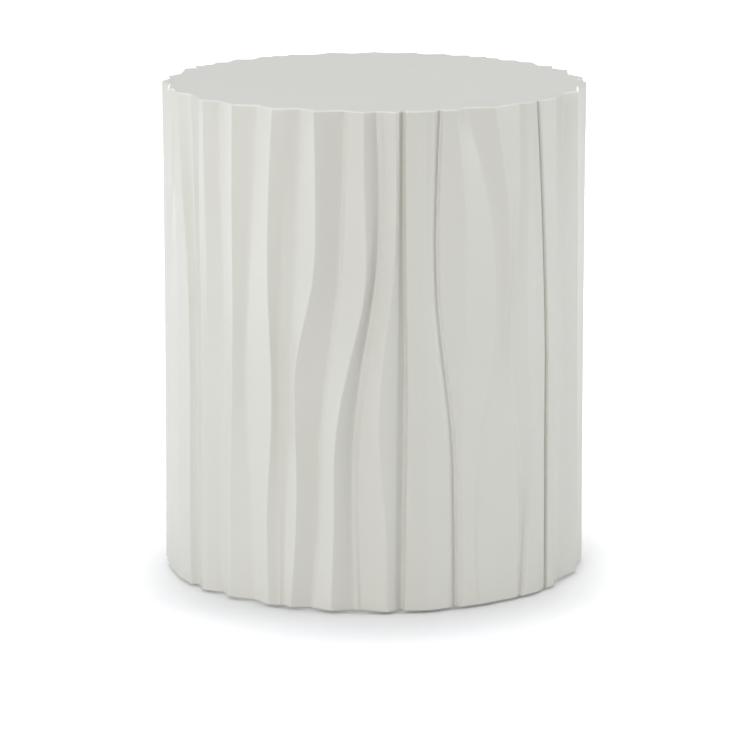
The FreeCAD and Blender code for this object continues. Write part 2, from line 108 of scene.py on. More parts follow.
class Signal:
    """A shader socket that Python's operators turn into Math nodes."""

    __add__ = joined("ADD")
    __radd__ = joined("ADD", swapped=True)
    __sub__ = joined("SUBTRACT")
    __rsub__ = joined("SUBTRACT", swapped=True)
    __mul__ = joined("MULTIPLY")
    __rmul__ = joined("MULTIPLY", swapped=True)
    __pow__ = joined("POWER")
    smallest = joined("MINIMUM")
    above = joined("GREATER_THAN")

    def __init__(self, recipe: "Recipe", source: bpy.types.NodeSocket) -> None:
        """Keep the recipe that owns the node, and its output socket."""
        self.recipe = recipe
        self.source = source

    def sine(self) -> "Signal":
        """Sine of this, in radians."""
        return self.recipe.node("ShaderNodeMath", {"operation": "SINE"}, {0: self})

    def ramp(self, low: float, high: float) -> "Signal":
        """Smooth step of this from 0 at low to 1 at high, whichever of them is greater.

        Args:
            low: where the step begins.
            high: where it ends.

        Returns:
            The step's signal.
        """
        if low > high:
            return 1.0 - self.ramp(high, low)
        return self.recipe.node("ShaderNodeMapRange", {"interpolation_type": "SMOOTHSTEP"},
                                {"Value": self, "From Min": low, "From Max": high})


class Recipe:
    """Node tree of one material or world."""

    def __init__(self, name: str, world: bool = False) -> None:
        """Start an empty node tree.

        Args:
            name: name of the new material or world.
            world: whether it is a world.
        """
        library, kind = (bpy.data.worlds, "World") if world else (bpy.data.materials, "Material")
        self.owner = library.new(name)
        self.owner.use_nodes = True
        self.tree = self.owner.node_tree
        self.tree.nodes.clear()
        self.output = self.tree.nodes.new(f"ShaderNodeOutput{kind}")

    def node(self, kind: str, settings: dict[str, Any] | None = None,
             inputs: dict[Any, Any] | None = None, output: Any = 0) -> Signal:
        """Add a node of any type.

        Args:
            kind: the node's type name.
            settings: its properties, set first; "stops" holds a colour ramp's stops.
            inputs: values or signals for its sockets, by name or number.
            output: which of its outputs to give back.

        Returns:
            The signal of that output.
        """
        made = self.tree.nodes.new(kind)
        for name, value in (settings or {}).items():
            if name == "stops":
                self._set_stops(made.color_ramp, value)
            else:
                setattr(made, name, value)
        for name, value in (inputs or {}).items():
            if isinstance(value, Signal):
                self.tree.links.new(value.source, made.inputs[name])
            else:
                made.inputs[name].default_value = value
        return Signal(self, made.outputs[output])

    @staticmethod
    def _set_stops(ramp: bpy.types.ColorRamp, stops: list[tuple[float, tuple]]) -> None:
        """Give a colour ramp its stops.

        Args:
            ramp: the ramp.
            stops: a place and a colour for each stop.
        """
        while len(ramp.elements) < len(stops):
            ramp.elements.new(1.0)
        for element, (place, colour) in zip(ramp.elements, stops):
            element.position = place
            element.color = (*colour, 1.0)

    def place(self) -> Signal:
        """Object coordinates of the shaded point, in metres."""
        return self.node("ShaderNodeTexCoord", output="Object")

    def parts(self, vector: Signal) -> tuple[Signal, Signal, Signal]:
        """X, Y and Z of a vector.

        Args:
            vector: the vector's signal.

        Returns:
            One signal for each axis.
        """
        split = self.node("ShaderNodeSeparateXYZ", inputs={0: vector})
        outputs = split.source.node.outputs
        return tuple(Signal(self, outputs[i]) for i in range(3))

    def stretched(self, vector: Signal, scale: tuple[float, float, float]) -> Signal:
        """A vector signal scaled along each axis."""
        return self.node("ShaderNodeMapping", inputs={"Vector": vector, "Scale": scale})

    def noise(self, vector: Signal, scale: float, detail: float = 2.0) -> Signal:
        """Noise between 0 and 1.

        Args:
            vector: where it is read.
            scale: its lumps per metre.
            detail: how many finer layers it has.

        Returns:
            The noise's signal.
        """
        return self.node("ShaderNodeTexNoise", inputs={
            "Vector": vector, "Scale": scale, "Detail": detail,
        })

    def blend(self, mask: Any, low: Any, high: Any) -> Signal:
        """Colour mixed from low to high by a mask."""
        low, high = (c if isinstance(c, Signal) else (*c, 1.0) for c in (low, high))
        return self.node("ShaderNodeMix", {"data_type": "RGBA"}, {0: mask, 6: low, 7: high}, 2)

    def bump(self, height: Signal, distance: float, normal: Signal | None = None) -> Signal:
        """Bump normal from a height signal, over another bump if one is given."""
        under = {} if normal is None else {"Normal": normal}
        return self.node("ShaderNodeBump", inputs={"Height": height, "Distance": distance, **under})

    def shader(self, **sockets: Any) -> Signal:
        """Principled shader, its sockets named with underscores for the blanks in their names."""
        inputs = {name.replace("_", " "): value for name, value in sockets.items()}
        return self.node("ShaderNodeBsdfPrincipled", inputs=inputs)

    def finished(self, surface: Signal) -> Any:
        """Lead a shader to the output, and give back the finished material or world."""
        self.tree.links.new(surface.source, self.output.inputs["Surface"])
        return self.owner

    def principled(self, **sockets: Any) -> bpy.types.Material:
        """Finish the material with a Principled shader of these sockets."""
        return self.finished(self.shader(**sockets))


@dataclass(frozen=True)
class SatinLacquer:
    """Sprayed white lacquer: faintly cloudy, with painted shade in the grooves and a painted
    highlight and glossier coat along the rim.
    """

    name: str = "satin_white_lacquer"
    colour: tuple[float, float, float] = (0.670, 0.666, 0.621)
    groove_shade_colour: tuple[float, float, float] = (0.500, 0.490, 0.425)
    rim_highlight_colour: tuple[float, float, float] = (0.860, 0.860, 0.830)
    cast_colour: tuple[float, float, float] = (0.330, 0.318, 0.290)
    roughness: float = 0.36
    cloud_per_metre: float = 9.0
    peel_per_metre: float = 620.0
    peel_depth: float = 0.000012
    coat: float = 0.40
    flat_coat: float = 0.03
    rim_coat: float = 0.60
    flat_height: float = 0.5219
    bare_radius: float = 0.2045
    bare_top: float = 0.5105
    fibre_depth: float = 0.0004
    fibre_per_metre: float = 260.0
    fibre_stretch: tuple[float, float, float] = (1.0, 1.0, 0.35)
    fibre_range: tuple[float, float] = (0.35, 0.7)
    cast_shade: float = 0.72
    groove_shade_share: float = 0.9
    cloud_share: float = 0.10
    rim_highlight_share: float = 0.4
    speck_share: float = 0.3
    cloud_dullness: float = 0.10
    bare_dullness: float = 0.45
    coat_roughness: float = 0.20

    def material(self) -> bpy.types.Material:
        """Build the material, bare casting inside the drum and lacquer on the rest.

        Returns:
            The finished material.
        """
        recipe = Recipe(self.name)
        place = recipe.place()
        x, y, z = recipe.parts(place)
        cloud = recipe.noise(place, self.cloud_per_metre, 3.0)
        speck = recipe.noise(place, self.peel_per_metre * 0.5, 2.0)
        hollow = recipe.node("ShaderNodeAttribute", {"attribute_name": "hollow"}, output="Fac")
        rim_highlight = recipe.node("ShaderNodeAttribute", {"attribute_name": "rim_highlight"}, output="Fac")
        # Painted shade: the hollow measure darkens the lacquer into the grooves, mixed with random
        # cloudy tone.
        tint_mask = hollow * self.groove_shade_share + cloud * self.cloud_share
        shade = recipe.blend(tint_mask, self.colour, self.groove_shade_colour)
        # Painted highlight: the rounded rows of the rim are lightened.
        shade = recipe.blend(rim_highlight * self.rim_highlight_share, shade, self.rim_highlight_colour)

        radius = (x * x + y * y) ** 0.5
        inside = (1.0 - radius.above(self.bare_radius)) * (1.0 - z.above(self.bare_top))
        drawn = recipe.stretched(place, self.fibre_stretch)
        fibre = recipe.noise(drawn, self.fibre_per_metre, 4.0)
        cast = recipe.blend(fibre.ramp(*self.fibre_range), self.cast_colour,
                            tuple(self.cast_shade * c for c in self.cast_colour))
        colour = recipe.blend(inside, shade, cast)
        duller = (cloud - 0.5) * self.cloud_dullness
        roughness = self.roughness + duller + inside * self.bare_dullness

        peel = recipe.noise(place, self.peel_per_metre, 1.0)
        skin = recipe.bump(peel * (1.0 - inside) + speck * self.speck_share, self.peel_depth)
        normal = recipe.bump(fibre * inside, self.fibre_depth, skin)
        coat = self.coat + rim_highlight * (self.rim_coat - self.coat)
        coat = coat + z.above(self.flat_height) * (self.flat_coat - self.coat)
        return recipe.principled(Base_Color=colour, Roughness=roughness, Normal=normal,
                                 Specular_IOR_Level=0.0, Coat_Weight=coat,
                                 Coat_Roughness=self.coat_roughness)


@dataclass(frozen=True)
class SealedPlywood:
    """Birch plywood: long face grain above and below, and its plies along every cut edge."""

    name: str = "sealed_birch_plywood"
    pale: tuple[float, float, float] = (0.560, 0.400, 0.235)
    dark: tuple[float, float, float] = (0.300, 0.180, 0.090)
    plies: int = 13
    foot: float = 0.0116
    thickness: float = 0.018
    warp_per_metre: float = 14.0
    grain_per_metre: tuple[float, float, float] = (14.0, 260.0, 60.0)
    fibre_per_metre: tuple[float, float, float] = (60.0, 1400.0, 300.0)
    grain_range: tuple[float, float] = (0.45, 0.95)
    grain_depth: float = 0.00012
    roughness: float = 0.46

    def material(self) -> bpy.types.Material:
        """Build the material.

        Returns:
            The finished material.
        """
        recipe = Recipe(self.name)
        place = recipe.place()
        _, _, z = recipe.parts(place)
        warp = recipe.noise(place, self.warp_per_metre, 3.0)
        grain = recipe.noise(recipe.stretched(place, self.grain_per_metre), 1.0, 5.0)
        fibre = recipe.noise(recipe.stretched(place, self.fibre_per_metre), 1.0, 3.0)
        streaks = (grain + warp * 0.4).ramp(*self.grain_range)
        face = recipe.blend(streaks, self.pale, self.dark)
        turns = 2.0 * math.pi * self.plies / 2.0 / self.thickness
        wave = ((z - self.foot) * turns + warp * 0.5).sine()
        edge = recipe.blend(wave.ramp(-0.25, 0.25), self.pale, self.dark)
        up = recipe.parts(recipe.node("ShaderNodeNewGeometry", output="Normal"))[2]
        flat = (up * up).above(0.5)
        colour = recipe.blend(flat, edge, face)
        normal = recipe.bump(fibre * 0.5 + grain, self.grain_depth)
        return recipe.principled(Base_Color=colour, Normal=normal,
                                 Roughness=self.roughness + fibre * 0.14)


@dataclass(frozen=True)
class PlanedHardwood:
    """Planed beech block: straight grain with short flecks."""

    name: str = "planed_hardwood"
    pale: tuple[float, float, float] = (0.520, 0.330, 0.180)
    dark: tuple[float, float, float] = (0.330, 0.180, 0.085)
    grain_per_metre: tuple[float, float, float] = (150.0, 150.0, 9.0)
    fleck_per_metre: tuple[float, float, float] = (900.0, 900.0, 160.0)
    grain_depth: float = 0.00015
    roughness: float = 0.5

    def material(self) -> bpy.types.Material:
        """Build the material.

        Returns:
            The finished material.
        """
        recipe = Recipe(self.name)
        place = recipe.place()
        grain = recipe.noise(recipe.stretched(place, self.grain_per_metre), 1.0, 4.0)
        fleck = recipe.noise(recipe.stretched(place, self.fleck_per_metre), 1.0, 2.0)
        colour = recipe.blend(grain.ramp(0.35, 0.7) * 0.8 + fleck.ramp(0.6, 0.75) * 0.2,
                              self.pale, self.dark)
        normal = recipe.bump(grain * 0.4 + fleck * 0.6, self.grain_depth)
        return recipe.principled(Base_Color=colour, Normal=normal,
                                 Roughness=self.roughness + fleck * 0.15)


@dataclass(frozen=True)
class MouldedNylon:
    """Black nylon: spark-eroded texture and slightly paler scuffs near the floor."""

    name: str = "moulded_black_nylon"
    colour: tuple[float, float, float] = (0.022, 0.022, 0.024)
    scuff: tuple[float, float, float] = (0.085, 0.082, 0.078)
    scuff_height: float = 0.0018
    spark_per_metre: float = 2600.0
    scuff_per_metre: float = 420.0
    scuff_range: tuple[float, float] = (0.45, 0.65)
    spark_depth: float = 0.00003
    roughness: float = 0.48

    def material(self) -> bpy.types.Material:
        """Build the material.

        Returns:
            The finished material.
        """
        recipe = Recipe(self.name)
        place = recipe.place()
        _, _, z = recipe.parts(place)
        spark = recipe.noise(place, self.spark_per_metre, 2.0)
        scuffs = recipe.noise(place, self.scuff_per_metre, 4.0).ramp(*self.scuff_range)
        tint_mask = z.ramp(self.scuff_height, 0.0) * scuffs
        colour = recipe.blend(tint_mask, self.colour, self.scuff)
        normal = recipe.bump(spark, self.spark_depth)
        return recipe.principled(Base_Color=colour, Normal=normal,
                                 Roughness=self.roughness + spark * 0.16)


@dataclass(frozen=True)
class PlatedSteel:
    """Bright plated steel: spangled tone, fine turning marks and duller patches."""

    name: str
    colour: tuple[float, float, float]
    dull: tuple[float, float, float]
    patch_per_metre: float = 300.0
    marks_per_metre: float = 5200.0
    marks_depth: float = 0.000015
    roughness: float = 0.24

    def material(self) -> bpy.types.Material:
        """Build the material.

        Returns:
            The finished material.
        """
        recipe = Recipe(self.name)
        place = recipe.place()
        patch = recipe.noise(place, self.patch_per_metre, 4.0)
        marks = recipe.noise(recipe.stretched(place, (0.05, 0.05, 1.0)), self.marks_per_metre, 2.0)
        colour = recipe.blend(patch.ramp(0.4, 0.7), self.colour, self.dull)
        normal = recipe.bump(marks, self.marks_depth)
        return recipe.principled(Base_Color=colour, Metallic=1.0, Normal=normal,
                                 Roughness=self.roughness + patch * 0.16 + marks * 0.06)


# Meshes


def add_piece(name: str, points: Array, faces: Any, material: bpy.types.Material,
              sharp_degrees: float) -> bpy.types.Object:
    """Make a mesh object from points and faces, smooth but for its sharp edges.

    Args:
        name: the object's name.
        points: vertices, one row each, in metres.
        faces: lists or arrays of vertex numbers, seen anticlockwise from outside.
        material: its finish.
        sharp_degrees: an edge whose faces meet at more than this is shaded sharp.

    Returns:
        The object, linked to the scene.
    """
    mesh = bpy.data.meshes.new(name)
    mesh.from_pydata(points.tolist(), [], [list(map(int, face)) for face in faces])
    mesh.materials.append(material)
    mesh.shade_smooth()
    mesh.set_sharp_from_angle(angle=math.radians(sharp_degrees))
    mesh.update()
    piece = bpy.data.objects.new(name, mesh)
    bpy.context.scene.collection.objects.link(piece)
    return piece


def stand_in(name: str, points: Array, faces: Any, material: bpy.types.Material, node: str,
             body: str, slot: str, sharp_degrees: float = SHARP_DEGREES) -> bpy.types.Object:
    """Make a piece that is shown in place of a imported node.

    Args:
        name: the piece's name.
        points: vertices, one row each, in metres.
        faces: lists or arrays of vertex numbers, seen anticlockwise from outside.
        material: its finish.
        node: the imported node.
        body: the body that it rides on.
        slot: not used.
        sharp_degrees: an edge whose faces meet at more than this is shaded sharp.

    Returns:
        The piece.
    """
    piece = add_piece(name, points, faces, material, sharp_degrees)
    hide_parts(node)
    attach(piece, body)
    LOG.info("%s: %d faces on %s", name, len(faces), body)
    return piece


def grid_faces(rows: int, columns: int, close_rows: bool) -> Array:
    """Quads of a grid that is closed round its columns, and round its rows too if asked.

    Vertex r * columns + c stands at row r and column c. The quad faces the side from which rows
    run up while columns run to the right.

    Args:
        rows: how many rows the grid has.
        columns: how many columns it has.
        close_rows: whether its last row meets its first.

    Returns:
        Four vertex numbers for each quad.
    """
    low = np.arange(rows if close_rows else rows - 1)[:, None]
    high = (low + 1) % rows
    left = np.arange(columns)[None, :]
    right = (left + 1) % columns
    quads = np.stack([low * columns + left, low * columns + right,
                      high * columns + right, high * columns + left], axis=-1)
    return quads.reshape(-1, 4)


def smooth(shares: Array) -> Array:
    """Smooth step t t (3 - 2 t) of shares t, which are held between 0 and 1."""
    t = np.clip(shares, 0.0, 1.0)
    return t * t * (3.0 - 2.0 * t)


def closed(rows: Array, turn: float = 0.0) -> Array:
    """Rows with their first column once more at the end, raised by a turn."""
    return np.hstack([rows, rows[:, :1] + turn])


def turned(radii: Array, heights: Array, angles: Array,
           centre: tuple[float, float] = (0.0, 0.0)) -> Array:
    """Points at radii and heights round an upright axis: x = r cos a and y = r sin a from it.

    Args:
        radii: one row for each ring, one column for each point of it.
        heights: heights of the same points, or of the rings.
        angles: angles of the points, or of the columns, in radians.
        centre: where the axis stands.

    Returns:
        A grid of points.
    """
    return np.stack([centre[0] + radii * np.cos(angles), centre[1] + radii * np.sin(angles),
                     np.broadcast_to(heights, radii.shape)], axis=-1)


def capped(points: Array) -> tuple[Array, list]:
    """Close a grid of rings at its first and last row with a fan to the middle of each.

    Args:
        points: grid of rows x columns x 3, the rows running from one pole to the other.

    Returns:
        Vertices and faces of the closed form.
    """
    rows, columns, _ = points.shape
    poles = points[[0, -1]].mean(axis=1)
    left = np.arange(columns)
    right = (left + 1) % columns
    foot = np.full(columns, rows * columns)
    last = (rows - 1) * columns
    bottom = np.stack([foot, right, left], axis=-1)
    top = np.stack([foot + 1, last + left, last + right], axis=-1)
    faces = [*grid_faces(rows, columns, False), *bottom, *top]
    return np.vstack([points.reshape(-1, 3), poles]), faces


def spline(knots: Array, values: Array, at: Array) -> Array:
    """Natural cubic spline through rows of values.

    Each piece between two knots is the straight line between their values plus the cubic whose
    second derivatives at the knots make the whole curve's slope continuous.

    Args:
        knots: places of the known values, rising.
        values: one row for each curve, one column for each knot.
        at: places where the curves are wanted.

    Returns:
        One row for each curve, one column for each place.
    """
    gaps = np.diff(knots)
    count = len(knots)
    system = np.eye(count)
    known = np.zeros((count, values.shape[0]))
    inner = np.arange(1, count - 1)
    system[inner, inner - 1] = gaps[:-1]
    system[inner, inner] = 2.0 * (gaps[:-1] + gaps[1:])
    system[inner, inner + 1] = gaps[1:]
    slopes = np.diff(values, axis=1) / gaps
    known[inner] = 6.0 * np.diff(slopes, axis=1).T
    bends = np.linalg.solve(system, known).T
    piece = np.clip(np.searchsorted(knots, at, side="right") - 1, 0, count - 2)
    gap = gaps[piece]
    ahead = (knots[piece + 1] - at) / gap
    behind = 1.0 - ahead
    return (ahead * values[:, piece] + behind * values[:, piece + 1]
            + ((ahead ** 3 - ahead) * bends[:, piece]
               + (behind ** 3 - behind) * bends[:, piece + 1]) * gap ** 2 / 6.0)


# The carved folds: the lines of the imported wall, and ten more for its narrow steps and creases.
# A fold line is a crest or a groove from foot to rim: its depth shares at the foot, the middle
# and the rim (0 on the crest circle, 1 in the deepest groove), then its angles at the height
# shares, in degrees.

HEIGHT_SHARES = (0.0, 0.2, 0.35, 0.5, 0.65, 0.8, 1.0)

FRONT_FOLD_SHARES = (
    ((0.05, 0.10, 0.10), (-91.0, -91.5, -92.0, -92.0, -91.5, -91.0, -90.5)),
    ((0.50, 0.55, 0.60), (-88.3, -88.4, -88.0, -87.0, -85.5, -84.0, -83.5)),
    ((0.16, 0.16, 0.22), (-85.0, -84.5, -83.5, -82.0, -80.0, -77.3, -75.4)),
    ((0.30, 0.30, 0.52), (-76.5, -76.5, -75.6, -74.0, -73.4, -72.8, -72.2)),
    ((0.24, 0.22, 0.34), (-68.0, -68.0, -67.4, -67.0, -67.6, -69.2, -70.6)),
    ((0.18, 0.17, 0.30), (-60.4, -60.4, -60.0, -60.0, -60.8, -63.4, -67.2)),
    ((0.66, 0.62, 0.90), (-56.3, -56.3, -55.9, -55.9, -56.3, -57.1, -58.6)),
    ((0.16, 0.16, 0.32), (-53.9, -54.0, -53.3, -53.4, -53.8, -54.2, -53.8)),
    ((0.30, 0.28, 0.16), (-51.2, -51.2, -51.0, -50.8, -51.0, -51.6, -52.2)),
    ((0.58, 0.54, 0.46), (-47.6, -47.6, -46.8, -46.6, -47.2, -48.2, -48.4)),
    ((0.82, 0.72, 0.80), (-45.0, -45.1, -43.9, -43.4, -44.0, -45.0, -45.0)),
    ((0.28, 0.28, 0.18), (-42.6, -42.3, -41.6, -41.0, -40.8, -40.9, -40.5)),
    ((0.80, 0.80, 1.00), (-33.6, -34.4, -35.9, -36.3, -35.3, -33.8, -32.2)),
    ((0.20, 0.10, 0.20), (-29.3, -29.7, -28.4, -28.4, -29.2, -29.0, -27.6)),
    ((0.42, 0.46, 0.46), (-26.8, -26.7, -26.1, -26.2, -26.2, -25.6, -24.5)),
    ((0.44, 0.56, 0.54), (-25.9, -25.7, -25.1, -25.1, -25.2, -24.6, -23.5)),
    ((0.58, 0.74, 1.00), (-24.6, -24.2, -23.3, -23.0, -21.2, -20.4, -19.0)),
    ((0.25, 0.10, 0.15), (-22.8, -21.0, -21.2, -21.0, -16.6, -15.4, -15.8)),
    ((0.80, 0.76, 0.84), (-17.2, -14.9, -14.4, -12.0, -9.5, -8.4, -7.4)),
    ((0.62, 0.54, 0.46), (-16.3, -14.0, -13.5, -11.0, -8.5, -7.4, -6.4)),
    ((0.15, 0.00, 0.12), (-11.5, -10.6, -10.1, -6.5, -2.3, -2.2, -2.5)),
    ((0.70, 0.78, 0.62), (-5.5, -5.8, -5.3, -3.0, 0.2, 1.4, 0.6)),
    ((0.58, 0.60, 0.44), (-4.0, -4.8, -4.4, -1.9, 1.1, 2.3, 1.8)),
    ((0.66, 0.62, 0.45), (-3.4, -4.1, -3.7, -1.2, 1.8, 2.9, 2.5)),
    ((0.05, 0.10, 0.08), (3.6, 3.0, 1.6, 2.4, 4.8, 5.8, 5.6)),
    ((0.50, 0.52, 0.24), (5.8, 6.0, 6.1, 6.4, 6.6, 6.7, 6.6)),
    ((0.84, 0.84, 0.74), (7.5, 7.8, 8.1, 8.2, 8.0, 7.8, 7.7)),
    ((0.34, 0.34, 0.26), (8.4, 8.7, 9.0, 9.0, 8.7, 8.5, 8.4)),
    ((0.10, 0.10, 0.16), (14.6, 14.4, 13.8, 12.6, 11.9, 11.6, 11.5)),
    ((0.16, 0.16, 0.30), (16.5, 16.0, 15.4, 14.4, 13.8, 13.8, 14.0)),
    ((0.34, 0.24, 0.20), (20.7, 20.4, 19.1, 16.9, 15.4, 15.3, 15.8)),
    ((0.72, 0.60, 0.74), (22.4, 22.1, 21.4, 19.0, 17.0, 16.8, 17.8)),
    ((0.36, 0.30, 0.36), (23.1, 22.8, 22.1, 19.7, 17.7, 17.5, 18.4)),
    ((0.22, 0.18, 0.15), (24.6, 24.3, 24.1, 24.7, 25.2, 24.9, 22.0)),
    ((0.30, 0.46, 0.80), (28.8, 27.8, 29.5, 33.4, 34.3, 32.2, 24.4)),
    ((0.20, 0.34, 0.62), (29.8, 29.2, 31.4, 35.6, 36.4, 34.6, 27.0)),
    ((0.22, 0.14, 0.08), (42.0, 42.4, 40.2, 37.8, 39.0, 38.4, 33.7)),
    ((0.46, 0.46, 0.58), (43.3, 44.5, 42.4, 39.3, 40.6, 42.2, 42.3)),
    ((0.14, 0.14, 0.26), (45.0, 47.0, 47.0, 46.0, 45.4, 45.6, 44.6)),
    ((0.12, 0.12, 0.12), (51.4, 51.0, 50.4, 49.6, 48.9, 48.1, 46.1)),
    ((0.26, 0.26, 0.28), (52.8, 52.8, 52.6, 52.4, 51.5, 50.4, 48.1)),
    ((0.32, 0.32, 0.30), (53.7, 53.6, 53.4, 53.3, 52.4, 51.1, 48.8)),
    ((0.75, 0.75, 0.66), (52.0, 51.9, 51.7, 51.6, 50.7, 49.5, 47.8)),
    ((0.22, 0.22, 0.22), (55.4, 55.3, 55.1, 54.9, 53.9, 52.6, 50.3)),
    ((0.15, 0.15, 0.12), (58.4, 58.4, 58.7, 58.5, 58.0, 57.8, 57.5)),
    ((0.66, 0.56, 0.74), (60.4, 60.6, 61.3, 61.4, 61.2, 61.6, 62.2)),
    ((0.10, 0.08, 0.02), (76.0, 75.6, 74.7, 73.8, 73.2, 72.6, 71.6)),
    ((0.50, 0.50, 0.48), (80.0, 80.0, 80.0, 80.0, 79.5, 78.6, 78.2)),
    ((0.05, 0.08, 0.05), (88.0, 88.5, 89.0, 89.0, 88.5, 88.0, 88.0)),
)

# A rear line has its angle at the rim, in degrees, and a depth share. It wanders below the rim.

REAR_FOLD_SHARES = (
    (92.4, 0.50), (96.8, 0.08), (103.5, 0.72), (111.0, 0.05), (115.4, 0.68), (120.0, 0.05),
    (122.6, 0.82), (129.4, 0.05), (132.0, 0.60), (135.4, 0.18), (138.4, 0.88), (142.0, 0.25),
    (144.2, 0.55), (147.0, 0.02), (150.2, 0.62), (152.2, 0.12), (156.0, 0.70), (159.4, 0.05),
    (165.0, 0.74), (168.4, 0.02), (174.0, 0.52), (180.0, 0.00), (185.6, 0.68), (192.6, 0.02),
    (197.4, 0.78), (204.6, 0.02), (207.0, 0.60), (209.8, 0.12), (211.6, 0.55), (213.6, 0.05),
    (219.0, 0.90), (222.6, 0.05), (228.4, 0.78), (230.6, 0.18), (234.8, 0.66), (236.6, 0.28),
    (238.0, 0.62), (239.8, 0.05), (243.2, 0.72), (245.6, 0.05), (255.6, 0.78), (261.0, 0.20),
    (265.4, 0.50),
)


@dataclass(frozen=True)
class Folds:
    """Crests and grooves of the drum wall, as angles and depths at any height."""

    crest_radius: float = 0.225
    groove_depth: float = 0.015
    rear_start: float = 90.0
    rear_span: float = 180.0
    wander_degrees: tuple[float, float] = (3.0, 1.0)
    wander_turns: tuple[float, float] = (2.0, 5.0)
    lean_turns: tuple[float, float] = (0.5, 0.5)
    fade_share: float = 0.35
    seen_share: float = 0.985
    seen_fade: tuple[float, float] = (60.0, 82.0)
    soft_bands: tuple[float, float] = (1.2, 4.5)

    def front_radii(self, shares: Array) -> Array:
        """Radius of each front line: its depth is the parabola through foot, middle and rim.

        Args:
            shares: heights, 0 at the foot and 1 at the rim.

        Returns:
            One row for each height, in metres.
        """
        foot, middle, rim = np.array([depths for depths, _ in FRONT_FOLD_SHARES]).T
        up = shares[:, None]
        down = 1.0 - up
        deep = foot * down * (down - up) + 4.0 * middle * down * up + rim * up * (up - down)
        return self.crest_radius - self.groove_depth * deep

    def rear_radii(self, shares: Array) -> Array:
        """Radius of each rear line: its depth share less a fade, strongest at mid height.

        Args:
            shares: heights, 0 at the foot and 1 at the rim.

        Returns:
            One row for each height, in metres.
        """
        angle, depth = np.array(REAR_FOLD_SHARES).T
        across = (angle[None, :] - self.rear_start) / self.rear_span
        up = shares[:, None]
        swing = np.sin(self.wander_turns[1] * np.pi * across) ** 2
        fade = self.fade_share * np.sin(np.pi * up) * swing
        return self.crest_radius - self.groove_depth * depth[None, :] * (1.0 - fade)

    def radii(self, shares: Array) -> Array:
        """Radius of each line at each height, in metres, one row for each height."""
        return np.hstack([self.front_radii(shares), self.rear_radii(shares)])

    def true_angles(self, seen: Array, radii: Array) -> Array:
        """True angles of front lines from those at which they seem to stand on the seen circle.

        A line stays where it is seen from the front: radius x sin(true) = seen radius x
        sin(seen). Near the drum's edges the change fades out.

        Args:
            seen: angles in the table's measure, in degrees.
            radii: radii of the same lines, in metres.

        Returns:
            Angles in degrees, shaped as the seen angles.
        """
        sine = self.seen_share * self.crest_radius / radii * np.sin(np.radians(seen))
        moved = np.degrees(np.arcsin(np.clip(sine, -1.0, 1.0)))
        low, high = self.seen_fade
        return seen + smooth((high - np.abs(seen)) / (high - low)) * (moved - seen)

    def angles(self, shares: Array) -> Array:
        """Angle of each line at each height, in degrees.

        A front line is seen on a natural spline through its seven angles. A rear line is its rim
        angle plus two waves in the distance below the rim, which fade out at both ends.

        Args:
            shares: heights, 0 at the foot and 1 at the rim.

        Returns:
            One row for each height, one column for each line.
        """
        known = np.array([angles for _, angles in FRONT_FOLD_SHARES])
        seen = spline(np.array(HEIGHT_SHARES), known, shares).T
        front = self.true_angles(seen, self.front_radii(shares))
        rim = np.array([angle for angle, _ in REAR_FOLD_SHARES])[None, :]
        across = (rim - self.rear_start) / self.rear_span
        drop = 1.0 - shares[:, None]
        wander = sum(
            swing * (np.sin(2.0 * np.pi * (turns * across + lean * drop))
                     - np.sin(2.0 * np.pi * turns * across))
            for swing, turns, lean in zip(self.wander_degrees, self.wander_turns, self.lean_turns)
        )
        return np.hstack([front, rim + np.sin(np.pi * across) * wander])

    def softness(self, lines: Array) -> Array:
        """How wide the bands beside each line are: 0 if either is narrow and 1 if both are wide.

        Args:
            lines: angles of the lines, one row for each height, in degrees.

        Returns:
            The measures, shaped as the lines.
        """
        gaps = np.diff(lines, axis=1)
        last = lines[:, :1] + FULL_TURN - lines[:, -1:]
        right = np.hstack([gaps, last])
        left = np.hstack([last, gaps])
        low, high = self.soft_bands
        return np.clip((np.minimum(left, right) - low) / (high - low), 0.0, 1.0)


